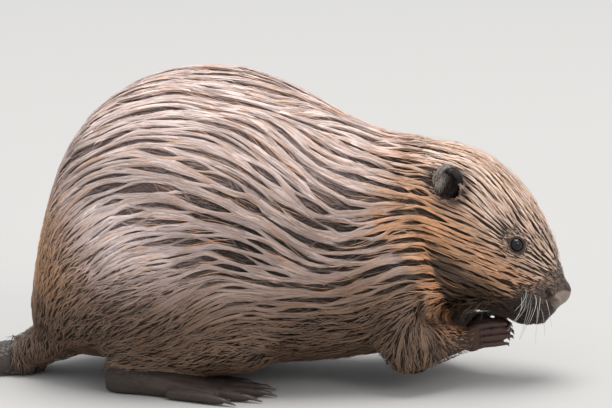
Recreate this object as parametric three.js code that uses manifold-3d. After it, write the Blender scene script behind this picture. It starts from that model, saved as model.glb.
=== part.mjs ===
// A life-size beaver, hunched on its hind feet with its hands held under its chin.
// Units are millimetres. While the parts are shaped, x runs forward from the rump, y to the animal's
// left and z up from the floor. The whole group is then centred over its own footprint.
import * as THREE from "three";
import { mergeVertices } from "three/addons/utils/BufferGeometryUtils.js";
import Module from "manifold-3d";

const wasm = await Module();
wasm.setup();

// Driving dimensions
const BODY_LENGTH = 538; // rump to nose tip, hunched
const BODY_HEIGHT = 318; // floor to the top of the hump
const BODY_HALF_WIDTH = 124; // at the hips, coat included
const HEAD_LENGTH = 162; // skull base to nose tip
const HEAD_HALF_WIDTH = 66; // across the cheeks
const HEAD_PITCH = THREE.MathUtils.degToRad(38); // how far the face points down
const SKULL_BASE = new THREE.Vector3(405, 0, 175);
const TAIL_LENGTH = 246; // the scaly blade
const TAIL_HALF_WIDTH = 63;
const FOOT_LENGTH = 158; // heel to the tip of the middle toe, without its claw
const FOOT_TURN_OUT = THREE.MathUtils.degToRad(8);
const EYE_RADIUS = 7.5;
const EAR_HEIGHT = 37;
const SEAM = 0.4; // clear gap between neighbouring parts

const COLOURS = {
  coat: { color: 0x7d6150, roughness: 0.6 },
  nose: { color: 0x2f2722, roughness: 0.45 },
  eye: { color: 0x0d0b0a, roughness: 0.08 },
  ear: { color: 0x3a2c24, roughness: 0.7 },
  tail: { color: 0x3b3733, roughness: 0.55 },
  foot: { color: 0x3a302b, roughness: 0.55 },
};

// ---------- shaping ----------

const power = (value, n) => Math.sign(value) * Math.abs(value) ** (2 / n);

// A closed body lofted through stations along local x, each [x, mid z, up, down, half width].
// The section is two half superellipses; the first and last stations shrink to a point.
function loft(stations, { rings = 24, sides = 16, upper = 2, lower = 2, grow = 0, floor = null } = {}) {
  const width = stations[0].length;
  const curve = new THREE.CubicInterpolant(
    Float32Array.from(stations.keys()),
    Float32Array.from(stations.flat()),
    width,
    new Float32Array(width),
  );
  const positions = [];
  const index = [];
  for (let i = 0; i <= rings; i++) {
    const at = (i / rings) * (stations.length - 1);
    const [x, middle, up, down, side] = curve.evaluate(at);
    const end = i === 0 ? -grow : i === rings ? grow : 0;
    const open = i > 0 && i < rings;
    for (let j = 0; j < sides; j++) {
      const angle = (j / sides) * 2 * Math.PI;
      const rise = Math.sin(angle);
      const reach = rise > 0 ? up : down;
      const y = open ? power(Math.cos(angle), rise > 0 ? upper : lower) * (side + grow) : 0;
      let z = middle + (open ? power(rise, rise > 0 ? upper : lower) * (reach + grow) : 0);
      if (floor !== null) z = Math.max(z, floor);
      positions.push(x + end, y, z);
    }
  }
  for (let i = 0; i < rings; i++)
    for (let j = 0; j < sides; j++) {
      const [a, b] = [i * sides + j, i * sides + ((j + 1) % sides)];
      const [c, d] = [a + sides, b + sides];
      index.push(a, b, c, b, d, c);
    }
  const geometry = new THREE.BufferGeometry();
  geometry.setAttribute("position", new THREE.Float32BufferAttribute(positions, 3));
  geometry.setIndex(index);
  return geometry;
}

// An ellipsoid, turned and placed.
function ellipsoid(centre, radii, turn = [0, 0, 0], grow = 0, segments = 14) {
  const geometry = new THREE.SphereGeometry(1, segments, Math.round(segments * 0.7));
  const size = new THREE.Vector3(...radii).addScalar(grow);
  const spin = new THREE.Quaternion().setFromEuler(new THREE.Euler(...turn.map(THREE.MathUtils.degToRad)));
  return geometry.applyMatrix4(new THREE.Matrix4().compose(new THREE.Vector3(...centre), spin, size));
}

// Places a loft so that its local x runs from one point to another and its local z stays upright.
function along(from, to) {
  const forward = to.clone().sub(from).normalize();
  const left = new THREE.Vector3(0, 0, 1).cross(forward).normalize();
  const up = forward.clone().cross(left);
  return new THREE.Matrix4().makeBasis(forward, left, up).setPosition(from);
}

// A manifold solid from one geometry, with its collapsed triangles dropped.
function solid(geometry) {
  geometry.deleteAttribute("normal");
  geometry.deleteAttribute("uv");
  const merged = mergeVertices(geometry, 1e-3);
  const from = merged.index.array;
  const triangles = [];
  for (let i = 0; i < from.length; i += 3) {
    const [a, b, c] = [from[i], from[i + 1], from[i + 2]];
    if (a !== b && b !== c && a !== c) triangles.push(a, b, c);
  }
  const make = (order) =>
    new wasm.Manifold(
      new wasm.Mesh({
        numProp: 3,
        vertProperties: merged.attributes.position.array,
        triVerts: Uint32Array.from(order),
      }),
    );
  const made = make(triangles);
  return made.volume() > 0 ? made : make(triangles.reverse());
}

const join = (...geometries) => geometries.map(solid).reduce((whole, next) => whole.add(next));

const bigger = (one, other) => (other.volume() > one.volume() ? other : one);
const largest = (whole) => whole.decompose().reduce(bigger);

// The same makers serve both sides: a maker is given the sign of y for its side.
const onSide = (side, point) => new THREE.Vector3(point[0], point[1] * side, point[2]);

// ---------- head and neck, in the head's own frame ----------

const headFrame = new THREE.Matrix4().makeRotationY(HEAD_PITCH).setPosition(SKULL_BASE);
const inHead = (point) => new THREE.Vector3(...point).applyMatrix4(headFrame);

const EYE = [83, 43, 27];
const EAR = [-9, 57, 35];
const NOSE = [153, 0, 9];

const headStations = [
  [-104, -12, 0, 0, 0],
  [-98, -12, 22, 20, 34],
  [-80, -10, 41, 42, 50],
  [-52, -9, 55, 56, 60],
  [-20, -9, 74, 62, HEAD_HALF_WIDTH - 1],
  [10, -9, 83, 64, HEAD_HALF_WIDTH],
  [35, -9, 85, 62, HEAD_HALF_WIDTH - 1],
  [60, -8, 79, 58, HEAD_HALF_WIDTH - 5],
  [82, -7, 71, 54, 53],
  [102, -6, 60, 48, 44],
  [120, -5, 48, 42, 38],
  [135, -5, 37, 35, 35],
  [148, -4, 27, 28, 31],
  [156, -3, 19, 20, 24],
  [HEAD_LENGTH - 1.5, -2, 12, 12, 15],
  [HEAD_LENGTH, 0, 0, 0, 0],
];

function headAndNeck() {
  const pieces = [loft(headStations, { rings: 20, sides: 20, upper: 2.15, lower: 2.2 })];
  for (const side of [-1, 1])
    pieces.push(
      ellipsoid([44, 31 * side, -26], [54, 34, 42], [0, 12, -8 * side], 0, 11), // cheek muscle
      ellipsoid([141, 15 * side, -18], [19, 20, 18], [0, 8, 0], 0, 10), // whisker pad
    );
  pieces.push(ellipsoid([128, 0, -32], [22, 21, 12.5], [0, 10, 0], 0, 10)); // chin
  for (const piece of pieces) piece.applyMatrix4(headFrame);
  return join(...pieces);
}

function nose(grow) {
  const pad = ellipsoid(NOSE, [11, 18, 13], [0, -12, 0], grow, 10);
  let made = solid(pad.applyMatrix4(headFrame));
  if (grow === 0)
    for (const side of [-1, 1]) {
      const nostril = ellipsoid([157, 13 * side, 5], [7, 3.2, 2.8], [0, -20, 32 * side], 0, 6);
      made = made.subtract(solid(nostril.applyMatrix4(headFrame)));
    }
  return made;
}

function eye(side, grow) {
  const centre = inHead(onSide(side, EYE).toArray());
  return solid(ellipsoid(centre.toArray(), [EYE_RADIUS, EYE_RADIUS, EYE_RADIUS], [0, 0, 0], grow, 10));
}

// A rounded cup, open forward and out, whose foot is sunk in the coat.
function ear(side, grow) {
  const height = EAR_HEIGHT / 2;
  const place = new THREE.Matrix4()
    .makeRotationFromEuler(new THREE.Euler(-0.3 * side, -0.35, 0.45 * side))
    .setPosition(onSide(side, EAR));
  const outer = ellipsoid([0, 0, 0], [17, 10, height], [0, 0, 0], grow, 11);
  const shell = solid(outer.applyMatrix4(place).applyMatrix4(headFrame));
  if (grow > 0) return shell;
  const inner = ellipsoid([1.5, 6 * side, -0.5], [14.4, 10, height - 3], [0, 0, 0], 0, 11);
  return largest(shell.subtract(solid(inner.applyMatrix4(place).applyMatrix4(headFrame))));
}

// ---------- trunk and tail ----------

const trunkStations = [
  [0, 80, 0, 0, 0],
  [5, 84, 34, 40, 40],
  [14, 98, 66, 66, 60],
  [28, 110, 101, 84, 77],
  [50, 114, 139, 93, 94],
  [80, 111, 172, 93, 108],
  [120, 104, 202, 88, 118],
  [165, 99, BODY_HEIGHT - 101, 84, BODY_HALF_WIDTH],
  [215, 97, 218, 82, 121],
  [265, 98, 199, 81, 113],
  [310, 100, 171, 80, 103],
  [350, 104, 149, 78, 94],
  [384, 112, 130, 72, 85],
  [412, 124, 106, 64, 73],
  [434, 136, 70, 52, 56],
  [446, 142, 38, 34, 36],
  [452, 144, 0, 0, 0],
];

const trunk = () => solid(loft(trunkStations, { rings: 22, sides: 20, upper: 2.15, lower: 2.25 }));

const TAIL_START = -16;
const tailEnd = TAIL_START - TAIL_LENGTH;
const tailStations = [
  [tailEnd, 3.5, 0, 0, 0],
  [tailEnd + 4, 3.5, 3.5, 4, 20],
  [tailEnd + 22, 3.7, 5.5, 4.5, TAIL_HALF_WIDTH - 22],
  [tailEnd + 60, 4, 8, 5, TAIL_HALF_WIDTH - 5],
  [tailEnd + 105, 4.5, 11, 6, TAIL_HALF_WIDTH],
  [tailEnd + 155, 5, 14, 7, TAIL_HALF_WIDTH - 7],
  [tailEnd + 200, 6, 18, 8, TAIL_HALF_WIDTH - 24],
  [TAIL_START, 9, 22, 12, 27],
  [TAIL_START + 22, 14, 20, 14, 20],
  [TAIL_START + 26, 15, 0, 0, 0],
];
const tail = (grow) =>
  solid(loft(tailStations, { rings: 15, sides: 14, upper: 2.1, lower: 3, grow, floor: grow ? null : 0 }));

const tailRootStations = [
  [TAIL_START - 6, 16, 0, 0, 0],
  [TAIL_START - 4, 17, 15, 12, 26],
  [TAIL_START + 10, 20, 20, 16, 33],
  [TAIL_START + 32, 30, 27, 22, 42],
  [TAIL_START + 62, 46, 34, 30, 50],
  [TAIL_START + 84, 58, 24, 24, 34],
  [TAIL_START + 88, 60, 0, 0, 0],
];
const tailRoot = () => solid(loft(tailRootStations, { rings: 8, sides: 14 }));

// ---------- hind legs, shaped on the right and mirrored ----------

const HEEL = [84, 82, 0];
const KNEE = [232, 92, 62];
const ANKLE = [98, 84, 32];

const thigh = (side) =>
  join(
    ellipsoid([140, 64 * side, 104], [98, 63, 94], [0, 14, 0], 0, 14),
    ellipsoid([206, 76 * side, 72], [62, 46, 52], [0, 24, 0], 0, 11), // knee
  );

function lowerLeg(side) {
  const from = onSide(side, KNEE);
  const to = onSide(side, ANKLE);
  const reach = from.distanceTo(to);
  const stations = [
    [-26, 0, 0, 0, 0],
    [-20, 0, 18, 20, 18],
    [10, 0, 32, 34, 30],
    [reach * 0.45, 0, 32, 30, 28],
    [reach * 0.8, 0, 24, 20, 22],
    [reach + 8, 0, 14, 14, 15],
    [reach + 14, 0, 0, 0, 0],
  ];
  return solid(loft(stations, { rings: 8, sides: 12 }).applyMatrix4(along(from, to)));
}

// One digit with a knuckle and a curved claw; its local x runs from root to tip.
function digit(from, to, radius, flat, claw, grow) {
  const reach = from.distanceTo(to);
  const place = along(from, to);
  const fleshy = [
    [-radius, 0, 0, 0, 0],
    [-radius * 0.6, 0, radius, flat, radius],
    [reach * 0.35, 0, radius * 0.85, flat, radius * 0.9],
    [reach * 0.55, 1, radius * 0.95, flat, radius * 0.95],
    [reach * 0.85, 0, radius * 0.7, flat, radius * 0.8],
    [reach, -0.5, radius * 0.45, flat * 0.7, radius * 0.5],
    [reach + radius * 0.3, -0.5, 0, 0, 0],
  ];
  const nail = [
    [reach - claw * 0.5, 1, 0, 0, 0],
    [reach - claw * 0.35, 1, radius * 0.42, radius * 0.4, radius * 0.46],
    [reach + claw * 0.45, 0, radius * 0.32, radius * 0.3, radius * 0.36],
    [reach + claw, -radius * 0.5, 0, 0, 0],
  ];
  return join(
    loft(fleshy, { rings: 5, sides: 5, grow }).applyMatrix4(place),
    loft(nail, { rings: 3, sides: 4, grow }).applyMatrix4(place),
  );
}

const SOLE = 5.2; // height of the toes' own centres
const toeReach = [0.86, 0.97, 1, 0.95, 0.84]; // inner to outer, as a share of the foot's length
const toeFan = [-17, -8.5, 0, 8.5, 17]; // degrees from the foot's middle line

function hindFoot(side, grow) {
  const place = new THREE.Matrix4().makeRotationZ(FOOT_TURN_OUT * side).setPosition(onSide(side, HEEL));
  const sole = [
    [-3, 12, 0, 0, 0],
    [1, 12, 14, 12, 12],
    [18, 14, 20, 15, 19],
    [50, 10, 18, 11, 21],
    [86, 7, 12, 9, 31],
    [112, 6, 8, 8, 36],
    [122, 5, 0, 0, 0],
  ];
  const heel = new THREE.Vector3(-14, 0, SOLE);
  let foot = solid(loft(sole, { rings: 7, sides: 10, lower: 3, grow }).applyMatrix4(place));
  const webRim = new THREE.Shape();
  webRim.moveTo(70, 0);
  toeReach.forEach((share, i) => {
    const fan = THREE.MathUtils.degToRad(toeFan[i] * side);
    const direction = new THREE.Vector3(Math.cos(fan), Math.sin(fan), 0);
    const tip = direction.clone().multiplyScalar(FOOT_LENGTH * share + 14).add(heel);
    const root = direction.clone().multiplyScalar(FOOT_LENGTH * 0.55).add(heel);
    foot = foot.add(digit(root.applyMatrix4(place), tip.clone().applyMatrix4(place), 7.4, SOLE, 15, grow));
    webRim.lineTo(tip.x - 14 - grow, tip.y * 0.97);
    if (i < toeReach.length - 1) {
      const gap = THREE.MathUtils.degToRad((toeFan[i] + toeFan[i + 1]) * 0.5 * side);
      const rim = FOOT_LENGTH * Math.min(share, toeReach[i + 1]) - 14;
      webRim.lineTo(heel.x + Math.cos(gap) * rim, Math.sin(gap) * rim);
    }
  });
  const web = new THREE.ExtrudeGeometry(webRim, { depth: 3.4 + 2 * grow, bevelEnabled: false });
  foot = foot.add(solid(web.translate(0, 0, 1.2 - grow).applyMatrix4(place)));
  if (grow > 0) return foot;
  const floorSlab = new THREE.BoxGeometry(400, 400, 60).translate(150, 90 * side, -30);
  return largest(foot.subtract(solid(floorSlab)));
}

// ---------- arms ----------

const SHOULDER = [352, 60, 128];
const ELBOW = [376, 80, 44];
const WRIST = [438, 38, 46];
const KNUCKLES = [455, 25, 47];

function upperArm(side) {
  const from = onSide(side, SHOULDER);
  const to = onSide(side, ELBOW);
  const reach = from.distanceTo(to);
  const stations = [
    [-30, 0, 0, 0, 0],
    [-24, 0, 20, 20, 14],
    [0, 0, 36, 36, 26],
    [reach * 0.5, 0, 34, 36, 27],
    [reach, 0, 27, 27, 24],
    [reach + 20, 0, 14, 14, 15],
    [reach + 26, 0, 0, 0, 0],
  ];
  return join(
    loft(stations, { rings: 8, sides: 12 }).applyMatrix4(along(from, to)),
    ellipsoid([350, 54 * side, 106], [60, 42, 68], [0, 14, 0], 0, 11), // shoulder muscle
  );
}

function forearm(side, grow) {
  const from = onSide(side, ELBOW);
  const to = onSide(side, WRIST);
  const reach = from.distanceTo(to);
  const stations = [
    [-20, 0, 0, 0, 0],
    [-14, 0, 16, 16, 16],
    [8, 0, 28, 26, 25],
    [reach * 0.5, 0, 25, 22, 21],
    [reach * 0.9, 0, 17, 16, 15],
    [reach + 6, 0, 12, 12, 11],
    [reach + 10, 0, 0, 0, 0],
  ];
  return solid(loft(stations, { rings: 8, sides: 11, grow }).applyMatrix4(along(from, to)));
}

const fingerSpread = [9, 3.2, -2.8, -8.8]; // heights of the finger roots about the knuckles
const fingerReach = [25, 29, 29, 24];

function hand(side, grow) {
  const wrist = onSide(side, WRIST);
  const knuckles = onSide(side, KNUCKLES);
  const reach = wrist.distanceTo(knuckles);
  const palm = [
    [-12, 0, 0, 0, 0],
    [-8, 0, 9, 9, 8],
    [reach * 0.5, 0, 13, 13, 9],
    [reach, 0, 14, 14, 8.5],
    [reach + 8, 0, 9, 9, 6],
    [reach + 11, 0, 0, 0, 0],
  ];
  let made = solid(loft(palm, { rings: 5, sides: 9, grow }).applyMatrix4(along(wrist, knuckles)));
  fingerReach.forEach((length, i) => {
    const root = knuckles.clone().add(new THREE.Vector3(1, 0, fingerSpread[i]));
    const tip = root.clone().add(new THREE.Vector3(length * 0.9, -length * 0.32 * side, 4 - i * 1.5));
    made = made.add(digit(root, tip, 4, 3.6, 9, grow));
  });
  const thumbRoot = wrist.clone().lerp(knuckles, 0.6).add(new THREE.Vector3(0, -5 * side, 9));
  const thumbTip = thumbRoot.clone().add(new THREE.Vector3(12, -4 * side, 5));
  return made.add(digit(thumbRoot, thumbTip, 3.6, 3.4, 5, grow));
}

// ---------- cuts ----------

// Everything ahead of a plane square to xz, given a point at its top and one at its bottom.
function ahead(top, bottom, grow) {
  const size = 900;
  const tilt = Math.atan2(bottom[0] - top[0], top[1] - bottom[1]);
  const block = new THREE.BoxGeometry(size, size, size).translate(size / 2 - grow, 0, 0);
  return solid(block.rotateY(-tilt).translate(bottom[0], 0, bottom[1]));
}

// An oval seen from the side, reaching in from the flank to a depth.
function oval(side, [x, z], [length, height], tilt, inner, grow) {
  const outline = new THREE.Shape();
  outline.absellipse(0, 0, length + grow, height + grow, 0, 2 * Math.PI);
  const reach = 200;
  const options = { depth: reach, bevelEnabled: false, curveSegments: 9 };
  const prism = new THREE.ExtrudeGeometry(outline, options).rotateZ(tilt).rotateX(Math.PI / 2);
  const from = side > 0 ? inner - grow + reach : grow - inner;
  return solid(prism.translate(x, from, z));
}

const cuts = {
  thigh: (side, grow) => oval(side, [150, 108], [98, 88], 0.15, 40, grow),
  lower_leg: (side, grow) => oval(side, [164, 30], [90, 29], -0.1, 56, grow),
  upper_arm: (side, grow) => oval(side, [356, 90], [42, 68], 0.2, 32, grow),
  tail_root: (grow) => solid(new THREE.BoxGeometry(80, 160, 160).translate(-22 + grow, 0, grow)),
  head: (grow) => ahead([378, 250], [418, 90], grow),
  neck: (grow) => ahead([318, 262], [392, 70], grow),
};

// ---------- assembly ----------

const parts = [];
const add = (name, look, pivot, made) => parts.push({ name, look, pivot, made });
const sides = { right: -1, left: 1 };

let body = [headAndNeck(), trunk(), tailRoot()].reduce((whole, next) => whole.add(next));
for (const side of Object.values(sides))
  body = body.add(thigh(side)).add(lowerLeg(side)).add(upperArm(side));

// Parts with a shape of their own take their place out of the body.
function place(name, look, pivot, make) {
  add(name, look, pivot, make(0));
  body = body.subtract(make(SEAM));
}

// Parts of the body itself are cut from it.
function part(name, pivot, cutter) {
  add(name, "coat", pivot, largest(body.intersect(cutter(0))));
  body = body.subtract(cutter(SEAM));
}

place("nose", "nose", inHead(NOSE), nose);
for (const [word, side] of Object.entries(sides)) {
  place(`eye_${word}`, "eye", inHead(onSide(side, EYE).toArray()), (grow) => eye(side, grow));
  place(`ear_${word}`, "ear", inHead(onSide(side, EAR).toArray()), (grow) => ear(side, grow));
  place(`hind_foot_${word}`, "foot", onSide(side, HEEL), (grow) => hindFoot(side, grow));
  place(`hand_${word}`, "foot", onSide(side, WRIST), (grow) => hand(side, grow));
  const clearOfHand = (grow) => forearm(side, grow).subtract(hand(side, SEAM));
  place(`forearm_${word}`, "coat", onSide(side, ELBOW), clearOfHand);
  part(`upper_arm_${word}`, onSide(side, SHOULDER), (grow) => cuts.upper_arm(side, grow));
  part(`lower_leg_${word}`, onSide(side, KNEE), (grow) => cuts.lower_leg(side, grow));
  part(`thigh_${word}`, new THREE.Vector3(150, 66 * side, 98), (grow) => cuts.thigh(side, grow));
}
place("tail", "tail", new THREE.Vector3(TAIL_START, 0, 10), tail);
part("tail_root", new THREE.Vector3(TAIL_START + 60, 0, 46), cuts.tail_root);
part("head", SKULL_BASE, cuts.head);
part("neck", SKULL_BASE, cuts.neck);
add("trunk", "coat", new THREE.Vector3(BODY_LENGTH * 0.35, 0, BODY_HEIGHT / 2), largest(body));

const beaver = new THREE.Group();
const bounds = new THREE.Box3();
for (const { name, look, pivot, made } of parts) {
  const mesh = made.getMesh();
  const geometry = new THREE.BufferGeometry();
  geometry.setAttribute("position", new THREE.Float32BufferAttribute(mesh.vertProperties, 3));
  geometry.setIndex(new THREE.Uint32BufferAttribute(mesh.triVerts, 1));
  geometry.computeBoundingBox();
  bounds.union(geometry.boundingBox);
  geometry.translate(-pivot.x, -pivot.y, -pivot.z);
  const node = new THREE.Mesh(geometry, new THREE.MeshStandardMaterial({ ...COLOURS[look], metalness: 0 }));
  node.name = name;
  node.position.copy(pivot);
  beaver.add(node);
}
const middle = bounds.getCenter(new THREE.Vector3());
beaver.position.set(-middle.x, -middle.y, -bounds.min.z);

export default beaver;
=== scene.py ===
import math

import bmesh
import bpy
import numpy as np
from mathutils import Matrix, Vector
from mathutils.bvhtree import BVHTree
from mathutils.kdtree import KDTree


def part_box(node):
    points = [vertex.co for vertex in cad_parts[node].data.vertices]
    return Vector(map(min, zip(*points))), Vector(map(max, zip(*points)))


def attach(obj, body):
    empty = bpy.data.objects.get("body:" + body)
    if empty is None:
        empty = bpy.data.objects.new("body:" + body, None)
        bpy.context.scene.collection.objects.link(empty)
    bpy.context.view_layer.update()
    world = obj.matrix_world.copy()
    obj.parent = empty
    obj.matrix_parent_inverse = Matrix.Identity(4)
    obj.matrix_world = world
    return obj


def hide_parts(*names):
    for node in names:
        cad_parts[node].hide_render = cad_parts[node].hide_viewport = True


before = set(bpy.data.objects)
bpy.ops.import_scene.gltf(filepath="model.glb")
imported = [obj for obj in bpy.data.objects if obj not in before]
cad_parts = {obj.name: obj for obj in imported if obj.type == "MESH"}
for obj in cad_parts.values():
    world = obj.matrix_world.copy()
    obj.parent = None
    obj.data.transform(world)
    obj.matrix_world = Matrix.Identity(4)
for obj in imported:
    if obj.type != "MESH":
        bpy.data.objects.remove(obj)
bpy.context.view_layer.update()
mm = 0.001
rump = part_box("trunk")[0].x  # lengths along the body are counted from the rump

# Millimetres: x forward from the rump, y to the animal's left, z up from the floor.
anatomy = {
    "skullBase": (405, 0, 175),
    "headPitch": math.radians(38),
    "eye": (83, 43, 27),  # eye, ear and nose are in the head's own frame
    "ear": (-9, 57, 35),
    "nose": (153, 0, 9),
    "eyeRadius": 7.5,
}
sides = {"right": -1, "left": 1}
paired = ("thigh", "lower_leg", "upper_arm", "forearm", "hand", "hind_foot", "ear")
flesh = ["trunk", "tail_root", "tail", "neck", "head", "nose"]
flesh += [f"{part}_{side}" for part in paired for side in sides]


def at(x, y, z):
    return Vector((rump + x * mm, y * mm, z * mm))


headTurn = Matrix.Rotation(anatomy["headPitch"], 3, "Y")
headToRow = Matrix.Translation(at(*anatomy["skullBase"])) @ headTurn.to_4x4() @ Matrix.Scale(mm, 4)


def inHead(u, v, w):
    return headToRow @ Vector((u, v, w))


# The same places as arrays: row metres to body millimetres, and body to head millimetres.
def toBody(points):
    return (points - np.array([rump, 0, 0])) / mm


def toHead(body):
    return (body - np.array(anatomy["skullBase"])) @ np.array(headTurn)


def sideOf(points):
    return np.where(points[:, 1] < 0, -1.0, 1.0)


# Factors that change y alone.
def yFactors(values):
    return np.column_stack([np.ones(len(values)), values, np.ones(len(values))])


# Both sides are worked out alike, from places on the left.
def mirrored(points):
    return np.column_stack([points[:, 0], np.abs(points[:, 1]), points[:, 2]])


def smooth(low, high, value):
    t = np.clip((value - low) / (high - low), 0, 1)
    return t * t * (3 - 2 * t)


# 1 between the middle two heights, and 0 outside the outer two.
def band(value, start, full, fade, end):
    return smooth(start, full, value) * smooth(end, fade, value)


def unit(vectors):
    return vectors / np.maximum(np.linalg.norm(vectors, axis=-1, keepdims=True), 1e-9)


def mix(a, b, share):
    return a + (b - a) * share


def bump(x, z, centreX, centreZ, reachX, reachZ):
    return np.exp(-0.5 * (((x - centreX) / reachX) ** 2 + ((z - centreZ) / reachZ) ** 2))


# Slow, even noise of about -1 to 1 through space.
def waves(body, scale, seed):
    rng = np.random.default_rng(seed)
    total = np.zeros(len(body))
    for _ in range(6):
        direction = unit(rng.normal(size=3)) / scale * rng.uniform(0.7, 1.5)
        total += np.sin(body @ direction * 2 * math.pi + rng.uniform(0, 6.28))
    return total / 2.4


def perVertex(collection, field):
    values = np.empty(len(collection) * 3, np.float32)
    collection.foreach_get(field, values)
    return values.reshape(-1, 3).astype(float)


def meshCoords(mesh):
    return perVertex(mesh.vertices, "co")


def meshNormals(mesh):
    return perVertex(mesh.vertex_normals, "vector")


def triangleCount(mesh):
    return sum(len(face.vertices) - 2 for face in mesh.polygons)


def edgeEnds(mesh):
    ends = np.empty(len(mesh.edges) * 2, np.int32)
    mesh.edges.foreach_get("vertices", ends)
    return ends.reshape(-1, 2)


def pointTree(points):
    tree = KDTree(len(points))
    for i, point in enumerate(points):
        tree.insert(point, i)
    tree.balance()
    return tree


def setCoords(mesh, co):
    mesh.vertices.foreach_set("co", co.astype(np.float32).ravel())
    mesh.update()


def addObject(name, mesh):
    piece = bpy.data.objects.new(name, mesh)
    bpy.context.scene.collection.objects.link(piece)
    return piece


def fromBmesh(name, bm):
    mesh = bpy.data.meshes.new(name)
    bm.to_mesh(mesh)
    bm.free()
    mesh.polygons.foreach_set("use_smooth", [True] * len(mesh.polygons))
    return addObject(name, mesh)


def bake(piece):
    depsgraph = bpy.context.evaluated_depsgraph_get()
    made = bpy.data.meshes.new_from_object(piece.evaluated_get(depsgraph))
    piece.modifiers.clear()
    old, piece.data = piece.data, made
    bpy.data.meshes.remove(old)


skin = {
    "overlap": 0.35,  # mm that each solid grows, so that the joints between them close
    "voxel": 1.6,
    "rounds": 60,  # smoothing passes that take out the facets
    "triangles": 124000,  # what is left once the plain places are thinned
    # depth of the coat over the skin, mm
    "depth": {"trunk": 7, "neck": 7, "thigh": 7, "lower_leg": 4, "upper_arm": 7, "forearm": 4.5,
              "tail_root": 5, "hand": 0.2},
    "depthOnHead": (5.5, 1.2, 40, 125),  # on the skull and the muzzle, and where it starts and ends to fall
    # how much the smoothing may move each part
    "soft": {"hand": 0.06, "hind_foot": 0.1, "tail": 0.3, "nose": 0.4, "ear": 0.03},
    "crease": [(392, 176), (397, 150), (409, 120), (426, 86)],  # the fold behind the cheek, x and z
    "creaseDepth": 5,
    "mouth": [(166, -20), (150, -29), (128, -35), (104, -33)],  # u and w along the lips
    "mouthDepth": 3.4,
    "nostril": [(139, 30, 6.5), (143, 28.5, 4), (148, 27, 2), (154, 23.5, 2)],
    "nostrilDepth": 6,
}
# The digits of a hand: height of each root over the knuckles, and length.
hand = {
    "wrist": (438, 38, 46),
    "knuckles": (455, 25, 47),
    "fingers": [(11.4, 24), (4.0, 30), (-3.4, 32), (-10.8, 27)],
    "fingerRadius": 2.9,
    "groove": 1.2,
    "claw": 3.4,
}
foot = {
    "heel": (84, 82, 0),
    "turnOut": math.radians(8),
    "length": 158,
    "toes": [(0.86, -17), (0.97, -8.5), (1, 0), (0.95, 8.5), (0.84, 17)],  # reach and fan in degrees
    "claw": 15,
}
# Half length and half height of the opening between the lids, and its tilt.
lids = {"long": 6.7, "high": 6.1, "tilt": math.radians(-12), "thickness": 0.45, "reach": 2.7}


def partOf(node):
    return node.removesuffix("_right").removesuffix("_left")


def onSide(side, point):
    return np.array([point[0], point[1] * side, point[2]], float)


# The middle line of each finger of one hand, from the palm to the claw.
def fingerLines(side):
    knuckles = onSide(side, hand["knuckles"])
    lines = []
    for height, length in hand["fingers"]:
        root = knuckles + (-9, 4 * side, height * 0.94)
        tip = knuckles + (1 + length * 0.86, -length * 0.42 * side, height * 0.96 + 1)
        knee = mix(root, tip, 0.6) + (6, 8 * side, 3)
        t = np.linspace(0, 1, 15)[:, None]
        lines.append((1 - t) ** 2 * root + 2 * t * (1 - t) * knee + t**2 * tip)
    root = mix(onSide(side, hand["wrist"]), knuckles, 0.6) + (0, -5 * side, 9)
    lines.append(mix(root, root + (12, -4 * side, 5), np.linspace(0, 1, 9)[:, None]))
    return lines


# 1 in the grooves between the fingers, 0 elsewhere.
def fingerGaps(body, owner):
    grooves = np.zeros(len(body))
    for side in sides.values():
        near = np.flatnonzero((owner == "hand") & (np.sign(body[:, 1]) == side))
        lines = np.concatenate(fingerLines(side)[:-1])
        gap = np.linalg.norm(body[near][:, None] - lines[None], axis=2).min(1) - hand["fingerRadius"]
        ahead = body[near, 0] - hand["knuckles"][0] + 6
        grooves[near] = smooth(0.2, 0.65, gap) * smooth(0, 6, ahead)
    return grooves


# The slim fingers and palm of a hand as a heap of balls, which the skin closes into one.
def addHand(whole, side):
    wrist, knuckles = onSide(side, hand["wrist"]), onSide(side, hand["knuckles"])
    balls = []
    for t in np.linspace(-0.5, 0.6, 10):
        middle = mix(wrist, knuckles, t)
        for height in np.linspace(-1, 1, 7):
            spread = mix(6, 9.8, smooth(-0.3, 0.6, t))
            thick = mix(7.6, 3.6, smooth(-0.1, 0.6, t))
            balls.append((middle + (0, 0, height * spread), thick))
    for line in fingerLines(side):
        for i, point in enumerate(line):
            t = i / (len(line) - 1)
            joint = math.exp(-(((t - 0.5) / 0.09) ** 2)) + math.exp(-(((t - 0.1) / 0.12) ** 2))
            balls.append((point, hand["fingerRadius"] * (1 - 0.2 * t**2 + 0.1 * joint)))
    for centre, radius in balls:
        bmesh.ops.create_icosphere(
            whole, subdivisions=2, radius=radius * mm, matrix=Matrix.Translation(at(*centre))
        )


# All the flesh in one mesh, each solid grown a little, and the node that each face comes from.
def fleshMesh():
    whole = bmesh.new()
    owners = []
    for node in flesh:
        if partOf(node) == "hand":
            addHand(whole, sides[node.removeprefix("hand_")])
            owners += [node] * (len(whole.faces) - len(owners))
            continue
        bm = bmesh.new()
        bm.from_mesh(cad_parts[node].data)
        bmesh.ops.remove_doubles(bm, verts=bm.verts, dist=1e-6)
        bm.normal_update()
        for vert in bm.verts:
            vert.co += vert.normal * skin["overlap"] * mm
        grown = bpy.data.meshes.new("grown")
        bm.to_mesh(grown)
        bm.free()
        whole.from_mesh(grown)
        owners += [node] * len(grown.polygons)
        bpy.data.meshes.remove(grown)
    whole.faces.ensure_lookup_table()
    return whole, owners


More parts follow.
